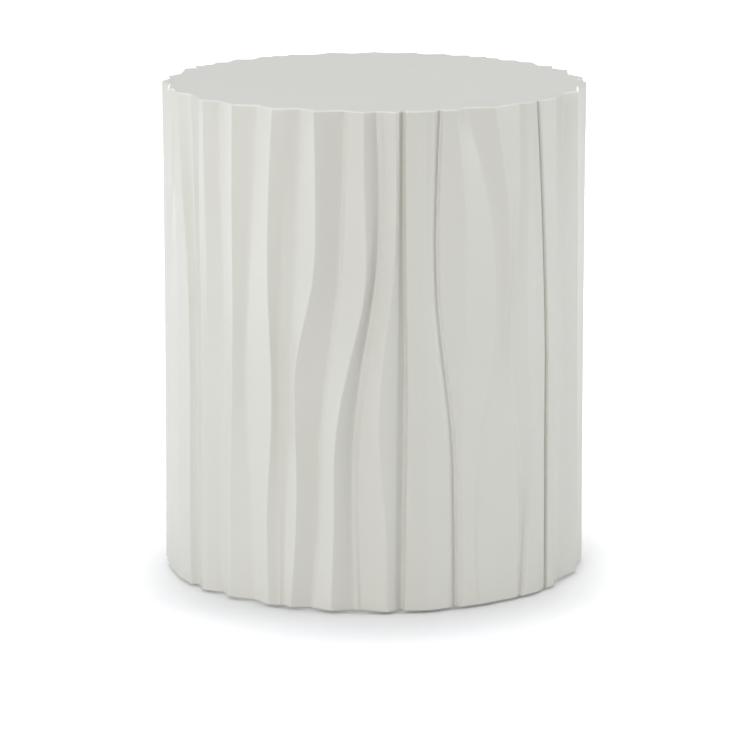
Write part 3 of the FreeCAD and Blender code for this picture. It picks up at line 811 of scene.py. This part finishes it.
@dataclass
class DrumWall:
    """Carved wall of the drum: folds outside, a plain bore inside and a rebate for the panel."""

    folds: Folds
    finish: SatinLacquer
    bore_radius: float = 0.203
    seat_radius: float = 0.206
    seat_height: float = 0.510
    rim_round: float = 0.0018
    foot_round: float = 0.0010
    band_columns: float = 6.0
    columns_per_degree: float = 1.3
    gather: float = 0.7
    wall_rows: int = 62
    round_rows: int = 5
    bore_rows: int = 8
    sample_degrees: float = 0.05
    crest_blur: float = 0.08
    groove_blur: float = 0.24
    broad_blur: float = 0.75
    hollow_blur: float = 0.60
    hollow_lift: tuple[float, float] = (0.0010, 0.0030)
    ease_depth: float = 0.00003

    def __post_init__(self) -> None:
        """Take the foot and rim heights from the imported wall, and lay out the columns."""
        low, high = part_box("drum_wall")
        self.foot = low[2]
        self.rim = high[2]
        middle = self.folds.angles(np.array([0.5]))[0]
        widths = np.diff(np.append(middle, middle[0] + FULL_TURN))
        counts = np.round(self.band_columns + self.columns_per_degree * widths).astype(int)
        self.band = np.repeat(np.arange(len(counts)), counts)
        firsts = np.repeat(np.cumsum(counts) - counts, counts)
        even = (np.arange(counts.sum()) - firsts) / np.repeat(counts, counts)
        self.along = even - self.gather * np.sin(2.0 * np.pi * even) / (2.0 * np.pi)

    def column_angles(self, shares: Array) -> Array:
        """Angle of each column at each height: they gather towards both lines of their band.

        Args:
            shares: heights, 0 at the foot and 1 at the rim.

        Returns:
            One row for each height, in degrees.
        """
        lines = closed(self.folds.angles(shares), FULL_TURN)
        start = lines[:, self.band]
        return start + self.along * (lines[:, self.band + 1] - start)

    def outlines(self, shares: Array, angles: Array) -> tuple[Array, Array]:
        """Radius of the carved face, and how hollow it is, at heights and angles.

        Between two lines the face is the straight chord, r = a b sin(B - A) / (a sin(t - A)
        + b sin(B - t)). That outline is blurred a little and a lot, and the greater of both
        radii counts, which keeps the crests crisp and makes the grooves round: the more so the
        wider the bands beside them. The face is hollow where a still wider blur would lift it.

        Args:
            shares: heights, 0 at the foot and 1 at the rim.
            angles: one row of angles for each height, in degrees.

        Returns:
            Radii in metres and hollowness from 0 to 1, shaped as the angles.
        """
        lines = closed(self.folds.angles(shares), FULL_TURN)
        radii = closed(self.folds.radii(shares))
        count = round(FULL_TURN / self.sample_degrees)
        samples = lines[:, :1] + np.arange(count) * self.sample_degrees
        band = np.stack([np.searchsorted(row, at, side="right") - 1
                         for row, at in zip(lines, samples)])
        row = np.arange(len(shares))[:, None]
        start, end = np.radians(lines[row, band]), np.radians(lines[row, band + 1])
        a, b = radii[row, band], radii[row, band + 1]
        turn = np.radians(samples)
        chord = a * b * np.sin(end - start) / (a * np.sin(turn - start) + b * np.sin(end - turn))
        crisp = self.blurred(chord, self.crest_blur)
        narrow = self.blurred(chord, self.groove_blur)
        broad = self.blurred(chord, self.broad_blur)
        softness = closed(self.folds.softness(lines[:, :-1]))
        wide = np.stack([np.interp(at, line, soft)
                         for at, line, soft in zip(samples, lines, softness)])
        soft = narrow + wide * (broad - narrow)
        outline = soft + self.ease_depth * np.logaddexp(0.0, (crisp - soft) / self.ease_depth)
        lift = self.blurred(chord, self.hollow_blur) - outline
        low, high = self.hollow_lift
        hollow = np.clip((lift - low) / (high - low), 0.0, 1.0)
        at = (angles - lines[:, :1]) / self.sample_degrees
        return self.read(outline, at), self.read(hollow, at)

    @staticmethod
    def read(rows: Array, at: Array) -> Array:
        """Read between samples, in a straight line from one to the next.

        Args:
            rows: samples once round the drum, one row for each height.
            at: places in each row, counted in samples.

        Returns:
            The values, shaped as the places.
        """
        row = np.arange(len(rows))[:, None]
        left = np.floor(at).astype(int)
        share = at - left
        count = rows.shape[1]
        return (1.0 - share) * rows[row, left % count] + share * rows[row, (left + 1) % count]

    def blurred(self, rows: Array, width: float) -> Array:
        """Blur by a bell curve: each wave round the drum shrinks by exp(-(wave x width)^2 / 2).

        Args:
            rows: samples once round the drum, one row for each height.
            width: the bell's standard width, in degrees.

        Returns:
            The blurred samples.
        """
        turns = np.fft.rfftfreq(rows.shape[1], self.sample_degrees)
        bell = np.exp(-0.5 * (2.0 * np.pi * turns * width) ** 2)
        return np.fft.irfft(np.fft.rfft(rows, axis=1) * bell, rows.shape[1], axis=1)

    def profile(self) -> tuple[Array, Array, Array]:
        """Height share, height and inset of each outer row, from the foot's edge to the rim's.

        Returns:
            Three arrays: the shares at which the folds are read, the heights in metres, and how
            far each row is drawn in from the carved face by the quarter rounds at both edges.
        """
        quarter = np.linspace(0.0, np.pi / 2.0, self.round_rows + 1)
        foot_heights = self.foot + self.foot_round * (1.0 - np.cos(quarter[:-1]))
        foot_insets = self.foot_round * (1.0 - np.sin(quarter[:-1]))
        low, high = self.foot + self.foot_round, self.rim - self.rim_round
        heights = np.linspace(low, high, self.wall_rows)
        rim_heights = self.rim - self.rim_round * (1.0 - np.sin(quarter[1:]))
        rim_insets = self.rim_round * (1.0 - np.cos(quarter[1:]))
        heights = np.concatenate([foot_heights, heights, rim_heights])
        insets = np.concatenate([foot_insets, np.zeros(self.wall_rows), rim_insets])
        shares = np.clip((heights - self.foot) / (self.rim - self.foot), 0.0, 1.0)
        return shares, heights, insets

    def rim_angles(self) -> Array:
        """Angles of the columns at the rim, which the top panel shares, in radians from +X."""
        return np.radians(self.column_angles(np.array([1.0]))[0] - 90.0)

    def build(self) -> bpy.types.Object:
        """Build the wall as one grid, closed round the drum and round its section.

        Returns:
            The wall, riding on the root body.
        """
        shares, heights, insets = self.profile()
        angles = self.column_angles(shares)
        carved, hollow = self.outlines(shares, angles)
        outer = carved - insets[:, None]
        edge = outer[-1]
        columns = outer.shape[1]
        bore_heights = np.linspace(self.seat_height, self.foot + self.foot_round, self.bore_rows)
        inner = [(edge + (self.seat_radius - edge) * share, self.rim) for share in (0.5, 1.0)]
        inner += [(np.full(columns, self.seat_radius), self.seat_height)]
        inner += [(np.full(columns, self.bore_radius), height) for height in bore_heights]
        inner += [(np.full(columns, self.bore_radius + self.foot_round), self.foot)]
        inner_radii = np.stack([ring for ring, _ in inner])
        inner_heights = np.array([height for _, height in inner])
        down = np.linspace(0.0, 1.0, len(inner))[:, None]
        leaning = angles[-1] + (angles[0] - angles[-1]) * down
        inner_angles = np.where(inner_heights[:, None] >= self.seat_height, angles[-1], leaning)

        radii = np.vstack([outer, inner_radii])
        all_heights = np.concatenate([heights, inner_heights])[:, None]
        turns = np.radians(np.vstack([angles, inner_angles]) - 90.0)
        points = turned(radii, all_heights, turns)
        faces = grid_faces(len(radii), columns, True)
        wall = stand_in("carved_drum_wall", points.reshape(-1, 3), faces, self.finish.material(),
                        "drum_wall", Body.ROOT.value, "lacquered_wall")
        # Marks the rim's rounded rows for a painted highlight and a glossier coat.
        rim_highlight = np.zeros(radii.shape)
        rim_highlight[len(outer) - self.round_rows:len(outer) - 1] = 1.0
        # The hollow measure darkens the lacquer there as painted shade.
        self.paint(wall, "hollow", np.vstack([hollow, np.zeros(inner_radii.shape)]))
        self.paint(wall, "rim_highlight", rim_highlight)
        return wall

    @staticmethod
    def paint(wall: bpy.types.Object, name: str, values: Array) -> None:
        """Write a number from 0 to 1 at each vertex, as the attribute of that name."""
        attribute = wall.data.attributes.new(name, "FLOAT", "POINT")
        attribute.data.foreach_set("value", values.astype(np.float32).ravel())


@dataclass
class TopPanel:
    """Flat round top, lacquered over with the rim, with ribs and a hub moulded under it."""

    wall: DrumWall
    finish: bpy.types.Material
    hub_radius: float = 0.035
    rib_half_width: float = 0.005
    rib_depth: float = 0.020
    rib_end: float = 0.191
    rib_run_out: float = 0.020
    fillet: float = 0.0022
    ribs: int = 6
    top_rings: tuple[float, float, float] = (0.02, 0.07, 0.14)
    under_start: float = 0.004
    under_rows: int = 44

    def under_heights(self, radii: Array, turns: Array) -> Array:
        """Height of the underside at polar places.

        The underside is a plane, less the rib depth where the distance to a rib's centre line or
        to the hub is small, with a smooth step as wide as the fillet. Each rib's depth runs out
        in a straight slope towards its outer end.

        Args:
            radii: distances from the middle, in metres.
            turns: angles, in radians.

        Returns:
            The heights, in metres.
        """
        sector = 2.0 * np.pi / self.ribs
        off = (turns + sector / 2.0) % sector - sector / 2.0
        aside = np.abs(radii * np.sin(off))
        run = np.clip((self.rib_end - radii) / self.rib_run_out, 0.0, 1.0)
        rib = self.step(self.rib_half_width - aside) * run
        hub = self.step(self.hub_radius - radii)
        return self.wall.seat_height - self.rib_depth * np.maximum(rib, hub)

    def step(self, inside: Array) -> Array:
        """Smooth step from 0 to 1 as a distance inside an edge grows through the fillet."""
        return smooth(inside / self.fillet + 0.5)

    def build(self) -> bpy.types.Object:
        """Build the panel as one closed grid from the middle of its top to that of its underside.

        Returns:
            The panel, riding on the root body.
        """
        turns = self.wall.rim_angles()[None, :]
        seat = self.wall.seat_radius
        top = np.array([*self.top_rings, seat])[:, None]
        under = np.linspace(seat, self.under_start, self.under_rows)[:, None]
        radii = np.vstack([top, under]) * np.ones_like(turns)
        heights = np.full(radii.shape, self.wall.rim)
        heights[len(top):] = self.under_heights(radii[len(top):], turns)
        vertices, faces = capped(turned(radii, heights, turns)[::-1])
        return stand_in("flush_top_panel", vertices, faces, self.finish,
                        "top_panel", Body.ROOT.value, "lacquered_top")


# Hardware


@dataclass(frozen=True)
class Thread:
    """A screw thread: root and crest radius, and how far it climbs in one turn."""

    radius: float
    depth: float
    pitch: float
    rows_per_turn: int = 8

    def rings(self, turns: Array, low: float, high: float) -> Rings:
        """Rings that draw the thread between two heights.

        The radius is the crest radius less the depth times a rounded zigzag of height / pitch
        less angle / turn, and it fades into the plain rod over one pitch at both ends.

        Args:
            turns: angles of the columns, as one row.
            low: height of the thread's lower end.
            high: height of its upper end.

        Returns:
            Radii and heights, one row for each ring.
        """
        count = max(2, int(round((high - low) / self.pitch * self.rows_per_turn)))
        heights = np.linspace(low, high, count)[:, None] * np.ones_like(turns)
        phase = (heights / self.pitch - turns / (2.0 * np.pi)) % 1.0
        groove = 0.5 + 0.5 * np.cos(2.0 * np.pi * phase)
        fade = np.clip(np.minimum(heights - low, high - heights) / self.pitch, 0.0, 1.0)
        return self.radius - self.depth * groove * fade, heights


@dataclass(frozen=True)
class Hexagon:
    """A hexagon nut or head: its width, and the cone that cuts its corners at both ends."""

    across_flats: float
    chamfer: float = 0.0009
    steps: tuple[float, ...] = (0.0, 0.35, 0.7, 1.0)
    cone_share: float = 0.96
    cone_slope: float = 1.9

    def rings(self, turns: Array, low: float, high: float) -> Rings:
        """Rings of the hexagon's side.

        The radius is half the width over the cosine of the angle from the nearest flat, or that
        of the cone where it is less.

        Args:
            turns: angles of the columns, as one row.
            low: height of its lower face.
            high: height of its upper face.

        Returns:
            Radii and heights, one row for each ring.
        """
        half = self.across_flats / 2.0
        sector = np.pi / 3.0
        flats = half / np.cos((turns % sector) - sector / 2.0)
        steps = np.array(self.steps) * self.chamfer
        heights = np.concatenate([low + steps, high - steps[::-1]])[:, None] * np.ones_like(turns)
        end = np.minimum(heights - low, high - heights)
        return np.minimum(flats, half * self.cone_share + end * self.cone_slope), heights


def plain_rings(turns: Array, rows: list[tuple[float, float]]) -> Rings:
    """Round rings, from the radius and height of each."""
    radii, heights = np.array(rows).T[:, :, None] * np.ones_like(turns)
    return radii, heights


def stacked(*runs: Rings) -> Rings:
    """Several runs of rings, one run after the other."""
    return np.vstack([radii for radii, _ in runs]), np.vstack([heights for _, heights in runs])


def column_turns(count: int) -> Array:
    """Angles of a ring's columns in radians, as one row, with the first at +X."""
    return (np.arange(count) * 2.0 * np.pi / count)[None, :]


def node_centre(node: str) -> tuple[float, float]:
    """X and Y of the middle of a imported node's box."""
    low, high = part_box(node)
    return (low[0] + high[0]) / 2.0, (low[1] + high[1]) / 2.0


@dataclass
class LevellingGlide:
    """One glide: captive nut, threaded stud with its hexagon, and fluted pad."""

    corner: Corner
    steel: bpy.types.Material
    nylon: bpy.types.Material
    hexagon: Hexagon = Hexagon(0.013)
    hexagon_height: float = 0.005
    hexagon_gap: float = 0.0003
    stud_radius: float = 0.004
    stud_bevel: float = 0.0009
    spigot_radius: float = 0.005
    spigot_bevel: float = 0.0004
    thread_depth: float = 0.00055
    pitch: float = 0.00125
    pad_width: float = 0.030
    pad_bevel: float = 0.0012
    pad_floor: float = 0.0018
    pad_hollow: float = 0.0005
    socket_radius: float = 0.0053
    socket_flare: float = 0.0009
    socket_lip: float = 0.0005
    flutes: int = 12
    flute_depth: float = 0.0006
    running_clearance: float = 0.00005
    columns: int = 72

    def __post_init__(self) -> None:
        """Read the glide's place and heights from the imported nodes."""
        name = self.corner.value
        self.centre = node_centre(f"captive_nut_{name}")
        self.nut_low, self.nut_high = (point[2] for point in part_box(f"captive_nut_{name}"))
        self.stud_low, self.stud_high = (point[2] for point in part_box(f"glide_stud_{name}"))
        self.pad_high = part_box(f"glide_pad_{name}")[1][2]
        self.hexagon_low = self.pad_high + self.hexagon_gap
        self.hexagon_high = self.hexagon_low + self.hexagon_height

    def build_stud(self) -> None:
        """Build the stud: spigot, chamfered hexagon and rolled thread with a bevelled end."""
        turns = column_turns(self.columns)
        spigot, top = self.spigot_radius, self.stud_high
        thread = Thread(self.stud_radius, self.thread_depth, self.pitch)
        radii, heights = stacked(
            plain_rings(turns, [(0.6 * spigot, self.stud_low),
                                (spigot - self.spigot_bevel, self.stud_low),
                                (spigot, self.stud_low + self.spigot_bevel),
                                (spigot, self.hexagon_low)]),
            self.hexagon.rings(turns, self.hexagon_low, self.hexagon_high),
            thread.rings(turns, self.hexagon_high, top - self.stud_bevel),
            plain_rings(turns, [(self.stud_radius - self.stud_bevel, top),
                                (0.4 * self.stud_radius, top)]),
        )
        name = self.corner.value
        stand_in(f"levelling_stud_{name}", *capped(turned(radii, heights, turns, self.centre)),
                 self.steel, f"glide_stud_{name}", Body.STUD.value + name, "zinc_plated_steel",
                 METAL_SHARP_DEGREES)

    def build_pad(self) -> None:
        """Build the pad: a low round form with grip scallops and a socket for the spigot.

        A ring's radius is that of its row, less the flute depth times the row's share times a
        cosine wave round the pad.
        """
        turns = column_turns(self.columns * 2)
        grip = 0.5 + 0.5 * np.cos(self.flutes * turns)
        half, bevel, high = self.pad_width / 2.0, self.pad_bevel, self.pad_high
        socket, floor = self.socket_radius, self.pad_floor
        foot = [(0.3 * half, self.pad_hollow, 0.0), (0.62 * half, self.pad_hollow, 0.0),
                (0.66 * half, 0.0, 0.0)]
        side = [(half - 2.2 * bevel, 0.0, 0.0), (half - bevel, 0.0, 0.0),
                (half - 0.5 * bevel, 0.15 * bevel, 0.1), (half - 0.1 * bevel, 0.6 * bevel, 0.5),
                (half, bevel, 1.0), (half, high - 0.8 * bevel, 1.0),
                (half - 0.1 * bevel, high - 0.35 * bevel, 0.8), (half - 0.6 * bevel, high, 0.2),
                (half - 2.0 * bevel, high, 0.0)]
        inner = [(socket + self.socket_flare, high, 0.0),
                 (socket + 0.4 * self.socket_lip, high - 0.2 * self.socket_lip, 0.0),
                 (socket, high - self.socket_lip, 0.0), (socket, floor, 0.0),
                 (0.3 * socket, floor, 0.0)]
        rows = foot + side + inner
        radii, heights = plain_rings(turns, [(radius, height) for radius, height, _ in rows])
        shares = np.array([share for _, _, share in rows])[:, None]
        radii = radii - shares * self.flute_depth * grip
        name = self.corner.value
        stand_in(f"fluted_pad_{name}", *capped(turned(radii, heights, turns, self.centre)),
                 self.nylon, f"glide_pad_{name}", Body.PAD.value + name, "black_nylon",
                 METAL_SHARP_DEGREES)

    def build_nut(self) -> None:
        """Build the captive nut: chamfered hexagon outside and thread inside, closed all round."""
        turns = column_turns(self.columns)
        crest = self.stud_radius + self.running_clearance + self.thread_depth
        thread = Thread(crest, self.thread_depth, self.pitch)
        threads, climb = thread.rings(turns, self.nut_low, self.nut_high)
        radii, heights = stacked(self.hexagon.rings(turns, self.nut_low, self.nut_high),
                                 (threads[::-1], climb[::-1]))
        points = turned(radii, heights, turns, self.centre)
        name = self.corner.value
        stand_in(f"threaded_nut_{name}", points.reshape(-1, 3),
                 grid_faces(len(radii), self.columns, True), self.steel,
                 f"captive_nut_{name}", Body.ROOT.value, "zinc_plated_steel", METAL_SHARP_DEGREES)

    def build(self) -> None:
        """Build all three pieces of the glide."""
        self.build_nut()
        self.build_stud()
        self.build_pad()


@dataclass
class CoachScrews:
    """Hexagon-headed screws up through the foot ring into the fixing blocks."""

    material: bpy.types.Material
    circle_radius: float = 0.188
    head: Hexagon = Hexagon(0.010)
    head_height: float = 0.004
    head_dome: float = 0.0002
    shank_radius: float = 0.003
    plain_length: float = 0.016
    point_length: float = 0.004
    thread_depth: float = 0.0005
    pitch: float = 0.0026
    columns: int = 48

    def one(self, turn: float, low: float, high: float) -> tuple[Array, list]:
        """One screw: domed hexagon head below, coarse thread and point above.

        Args:
            turn: angle of its place round the drum, in radians from +X.
            low: height of the head's lower face.
            high: height of the shank's end.

        Returns:
            Vertices and faces.
        """
        turns = column_turns(self.columns)
        shank, head_top = self.shank_radius, low + self.head_height
        thread = Thread(shank, self.thread_depth, self.pitch)
        radii, heights = stacked(
            plain_rings(turns, [(0.4 * shank, low),
                                (0.375 * self.head.across_flats, low + 0.5 * self.head_dome)]),
            self.head.rings(turns, low + self.head_dome, head_top),
            plain_rings(turns, [(shank, head_top)]),
            thread.rings(turns, head_top + self.plain_length, high - self.point_length),
            plain_rings(turns, [(0.55 * shank, high - 0.5 * self.point_length),
                                (0.08 * shank, high)]),
        )
        centre = (self.circle_radius * math.cos(turn), self.circle_radius * math.sin(turn))
        return capped(turned(radii, heights, turns, centre))

    def build(self) -> bpy.types.Object:
        """Build the four screws as one piece.

        Returns:
            The screws, riding on the root body.
        """
        low, high = (point[2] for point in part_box("ring_screws"))
        vertices: list[Array] = []
        faces: list = []
        for number, _ in enumerate(Side):
            points, rings = self.one(number * math.pi / 2.0, low, high)
            offset = sum(len(part) for part in vertices)
            faces += [np.asarray(face) + offset for face in rings]
            vertices.append(points)
        return stand_in("coach_screws", np.vstack(vertices), faces, self.material, "ring_screws",
                        Body.ROOT.value, "stainless_screws", METAL_SHARP_DEGREES)


def dress_node(node: str, material: bpy.types.Material) -> None:
    """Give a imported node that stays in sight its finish.

    Args:
        node: the node's name.
        material: the finish.
    """
    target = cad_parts[node]
    if not target.material_slots:
        target.data.materials.append(material)
    for place in target.material_slots:
        place.material = material
    LOG.info("%s: finished as %s", node, material.name)


# Studio


@dataclass(frozen=True)
class SoftBox:
    """A rectangular studio lamp that faces the table from an angle to the right of its front."""

    name: str
    angle: float
    height: float
    distance: float
    width: float
    tall: float
    watts: float
    colour: tuple[float, float, float] = (1.0, 1.0, 1.0)

    def build(self, target: Vector) -> None:
        """Hang the lamp and turn it to the target.

        Args:
            target: the place it shines at.
        """
        light = bpy.data.lights.new(self.name, "AREA")
        light.color = self.colour
        light.shape = "RECTANGLE"
        light.size = self.width
        light.size_y = self.tall
        light.energy = self.watts
        lamp = bpy.data.objects.new(self.name, light)
        turn = math.radians(self.angle)
        aside, ahead = self.distance * math.sin(turn), -self.distance * math.cos(turn)
        lamp.location = (aside, ahead, self.height)
        lamp.rotation_euler = (target - lamp.location).to_track_quat("-Z", "Y").to_euler()
        bpy.context.scene.collection.objects.link(lamp)


WHITE = (1.0, 1.0, 1.0, 1.0)
COOL = (0.98, 1.00, 1.06)
WARM = (1.00, 1.00, 0.975)

LAMPS = (
    SoftBox("left_box", -85.0, 1.3, 3.2, 1.6, 2.2, 25.0, COOL),
    SoftBox("right_box", 85.0, 1.3, 3.2, 1.6, 2.2, 38.0),
    SoftBox("front_box", -20.0, 1.3, 3.2, 1.6, 2.2, 49.5, WARM),
    SoftBox("back_box", 180.0, 0.55, 3.0, 2.4, 0.9, 38.0),
    SoftBox("top_box", 0.0, 3.6, 0.05, 2.0, 2.0, 57.0, COOL),
    SoftBox("left_strip", -105.0, 0.36, 1.3, 0.8, 0.7, 2.2, COOL),
    SoftBox("right_strip", 90.0, 0.36, 1.3, 0.8, 0.7, 1.6, COOL),
)


@dataclass(frozen=True)
class Studio:
    """Pale seamless floor, soft lamps at both sides and the camera of the photo."""

    floor_half: float = 14.0
    floor_cells: int = 8
    floor_roughness: float = 0.9
    camera_distance: float = 4.3593
    camera_height: float = 1.1447
    camera_side: float = 0.0014
    camera_pitch: float = 12.075
    camera_reach: float = 60.0
    focal_pixels: float = 4167.4
    frame_pixels: float = 750.0
    sensor_width: float = 36.0
    lamp_target: float = 0.26
    world_strength: float = 0.15
    floor_tone: float = 0.82
    tone_spread: float = 0.01
    tone_per_metre: float = 3.0
    under_glow: float = 0.26
    near_glow: float = 0.50
    far_glow: float = 0.60
    shadow_centre: float = -0.060
    shadow_squeeze: float = 1.2
    under_reach: tuple[float, float] = (0.218, 0.209)
    shadow_reach: tuple[float, float] = (0.150, 0.440)
    far_reach: tuple[float, float] = (0.50, 2.50)

    def build_floor(self) -> None:
        """Lay the floor: it takes the table's shadow, and glows a little towards the camera, less
        round the foot, where that paints shadow.
        """
        recipe = Recipe("studio_floor")
        place = recipe.place()
        x, y, _ = recipe.parts(place)
        tone = recipe.noise(place, self.tone_per_metre, 2.0)
        pale = self.floor_tone + self.tone_spread
        colour = recipe.blend(tone, (self.floor_tone,) * 3, (pale,) * 3)
        matte = recipe.shader(Base_Color=colour, Roughness=self.floor_roughness)
        ray = recipe.node("ShaderNodeLightPath", output="Is Camera Ray")
        glossy = recipe.node("ShaderNodeLightPath", output="Is Glossy Ray")
        # Painted light: a faint glow in the disc under the drum lightens the gap beneath its foot.
        under = ((x * x + y * y) ** 0.5).ramp(*self.under_reach)
        # Painted shadow: the glow is left out near the table, more so in front, so the floor is
        # darker round its foot.
        away = ((x * self.shadow_squeeze) ** 2.0 + (y - self.shadow_centre) ** 2.0) ** 0.5
        near = away.ramp(*self.shadow_reach) * (1.0 - under)
        far = away.ramp(*self.far_reach)
        level = under * self.under_glow + near * self.near_glow + far * self.far_glow
        glow = recipe.node("ShaderNodeEmission", inputs={
            "Color": WHITE, "Strength": (ray + glossy).smallest(1.0) * level,
        })
        both = recipe.node("ShaderNodeAddShader", inputs={0: matte, 1: glow})
        count = self.floor_cells + 1
        steps = np.linspace(-self.floor_half, self.floor_half, count)
        across, ahead = np.meshgrid(steps, steps)
        points = np.stack([across, ahead, np.zeros_like(across)], axis=-1).reshape(-1, 3)
        first = np.arange(self.floor_cells) + count * np.arange(self.floor_cells)[:, None]
        faces = first.reshape(-1, 1) + np.array([0, 1, count + 1, count])
        floor = add_piece("studio_floor", points, faces, recipe.finished(both), SHARP_DEGREES)

    def build_world(self) -> None:
        """Make the surrounding light: even, and white where the camera sees it."""
        recipe = Recipe("studio", world=True)
        fill = recipe.node("ShaderNodeBackground", inputs={
            "Color": WHITE, "Strength": self.world_strength,
        })
        white = recipe.node("ShaderNodeBackground", inputs={"Color": WHITE})
        seen = recipe.node("ShaderNodeLightPath", output="Is Camera Ray")
        mixed = recipe.node("ShaderNodeMixShader", inputs={0: seen, 1: fill, 2: white})
        bpy.context.scene.world = recipe.finished(mixed)

    def build_lamps(self) -> None:
        """Hang the soft lamps."""
        target = Vector((0.0, 0.0, self.lamp_target))
        for lamp in LAMPS:
            lamp.build(target)

    def build_camera(self) -> None:
        """Set the camera where the fit of the photo's rim and foot puts it."""
        data = bpy.data.cameras.new("photo_camera")
        data.sensor_width = self.sensor_width
        data.lens = self.focal_pixels * self.sensor_width / self.frame_pixels
        data.clip_end = self.camera_reach
        camera = bpy.data.objects.new("photo_camera", data)
        camera.location = (self.camera_side, -self.camera_distance, self.camera_height)
        camera.rotation_euler = (math.radians(90.0 - self.camera_pitch), 0.0, 0.0)
        bpy.context.scene.collection.objects.link(camera)
        bpy.context.scene.camera = camera

    def build(self) -> None:
        """Build the floor, the world, the lamps and the camera."""
        self.build_floor()
        self.build_world()
        self.build_lamps()
        self.build_camera()
        bpy.context.scene.view_settings.view_transform = "Standard"
        LOG.info("studio ready")


def main() -> None:
    """Build the table and its studio, one sub-assembly after the other."""
    logging.basicConfig(level=logging.INFO, format="%(name)s: %(message)s")
    Studio().build()
    wall = DrumWall(Folds(), SatinLacquer())
    carved = wall.build()
    TopPanel(wall, carved.data.materials[0]).build()
    steel = PlatedSteel("zinc_plated_steel", (0.66, 0.67, 0.70), (0.48, 0.49, 0.50)).material()
    nylon = MouldedNylon().material()
    for corner in Corner:
        LevellingGlide(corner, steel, nylon).build()
    stainless = PlatedSteel("stainless_steel", (0.62, 0.61, 0.60), (0.50, 0.49, 0.48)).material()
    CoachScrews(stainless).build()
    dress_node("base_ring", SealedPlywood().material())
    hardwood = PlanedHardwood().material()
    for side in Side:
        dress_node(f"fixing_block_{side.value}", hardwood)


if __name__ == "__main__":
    main()
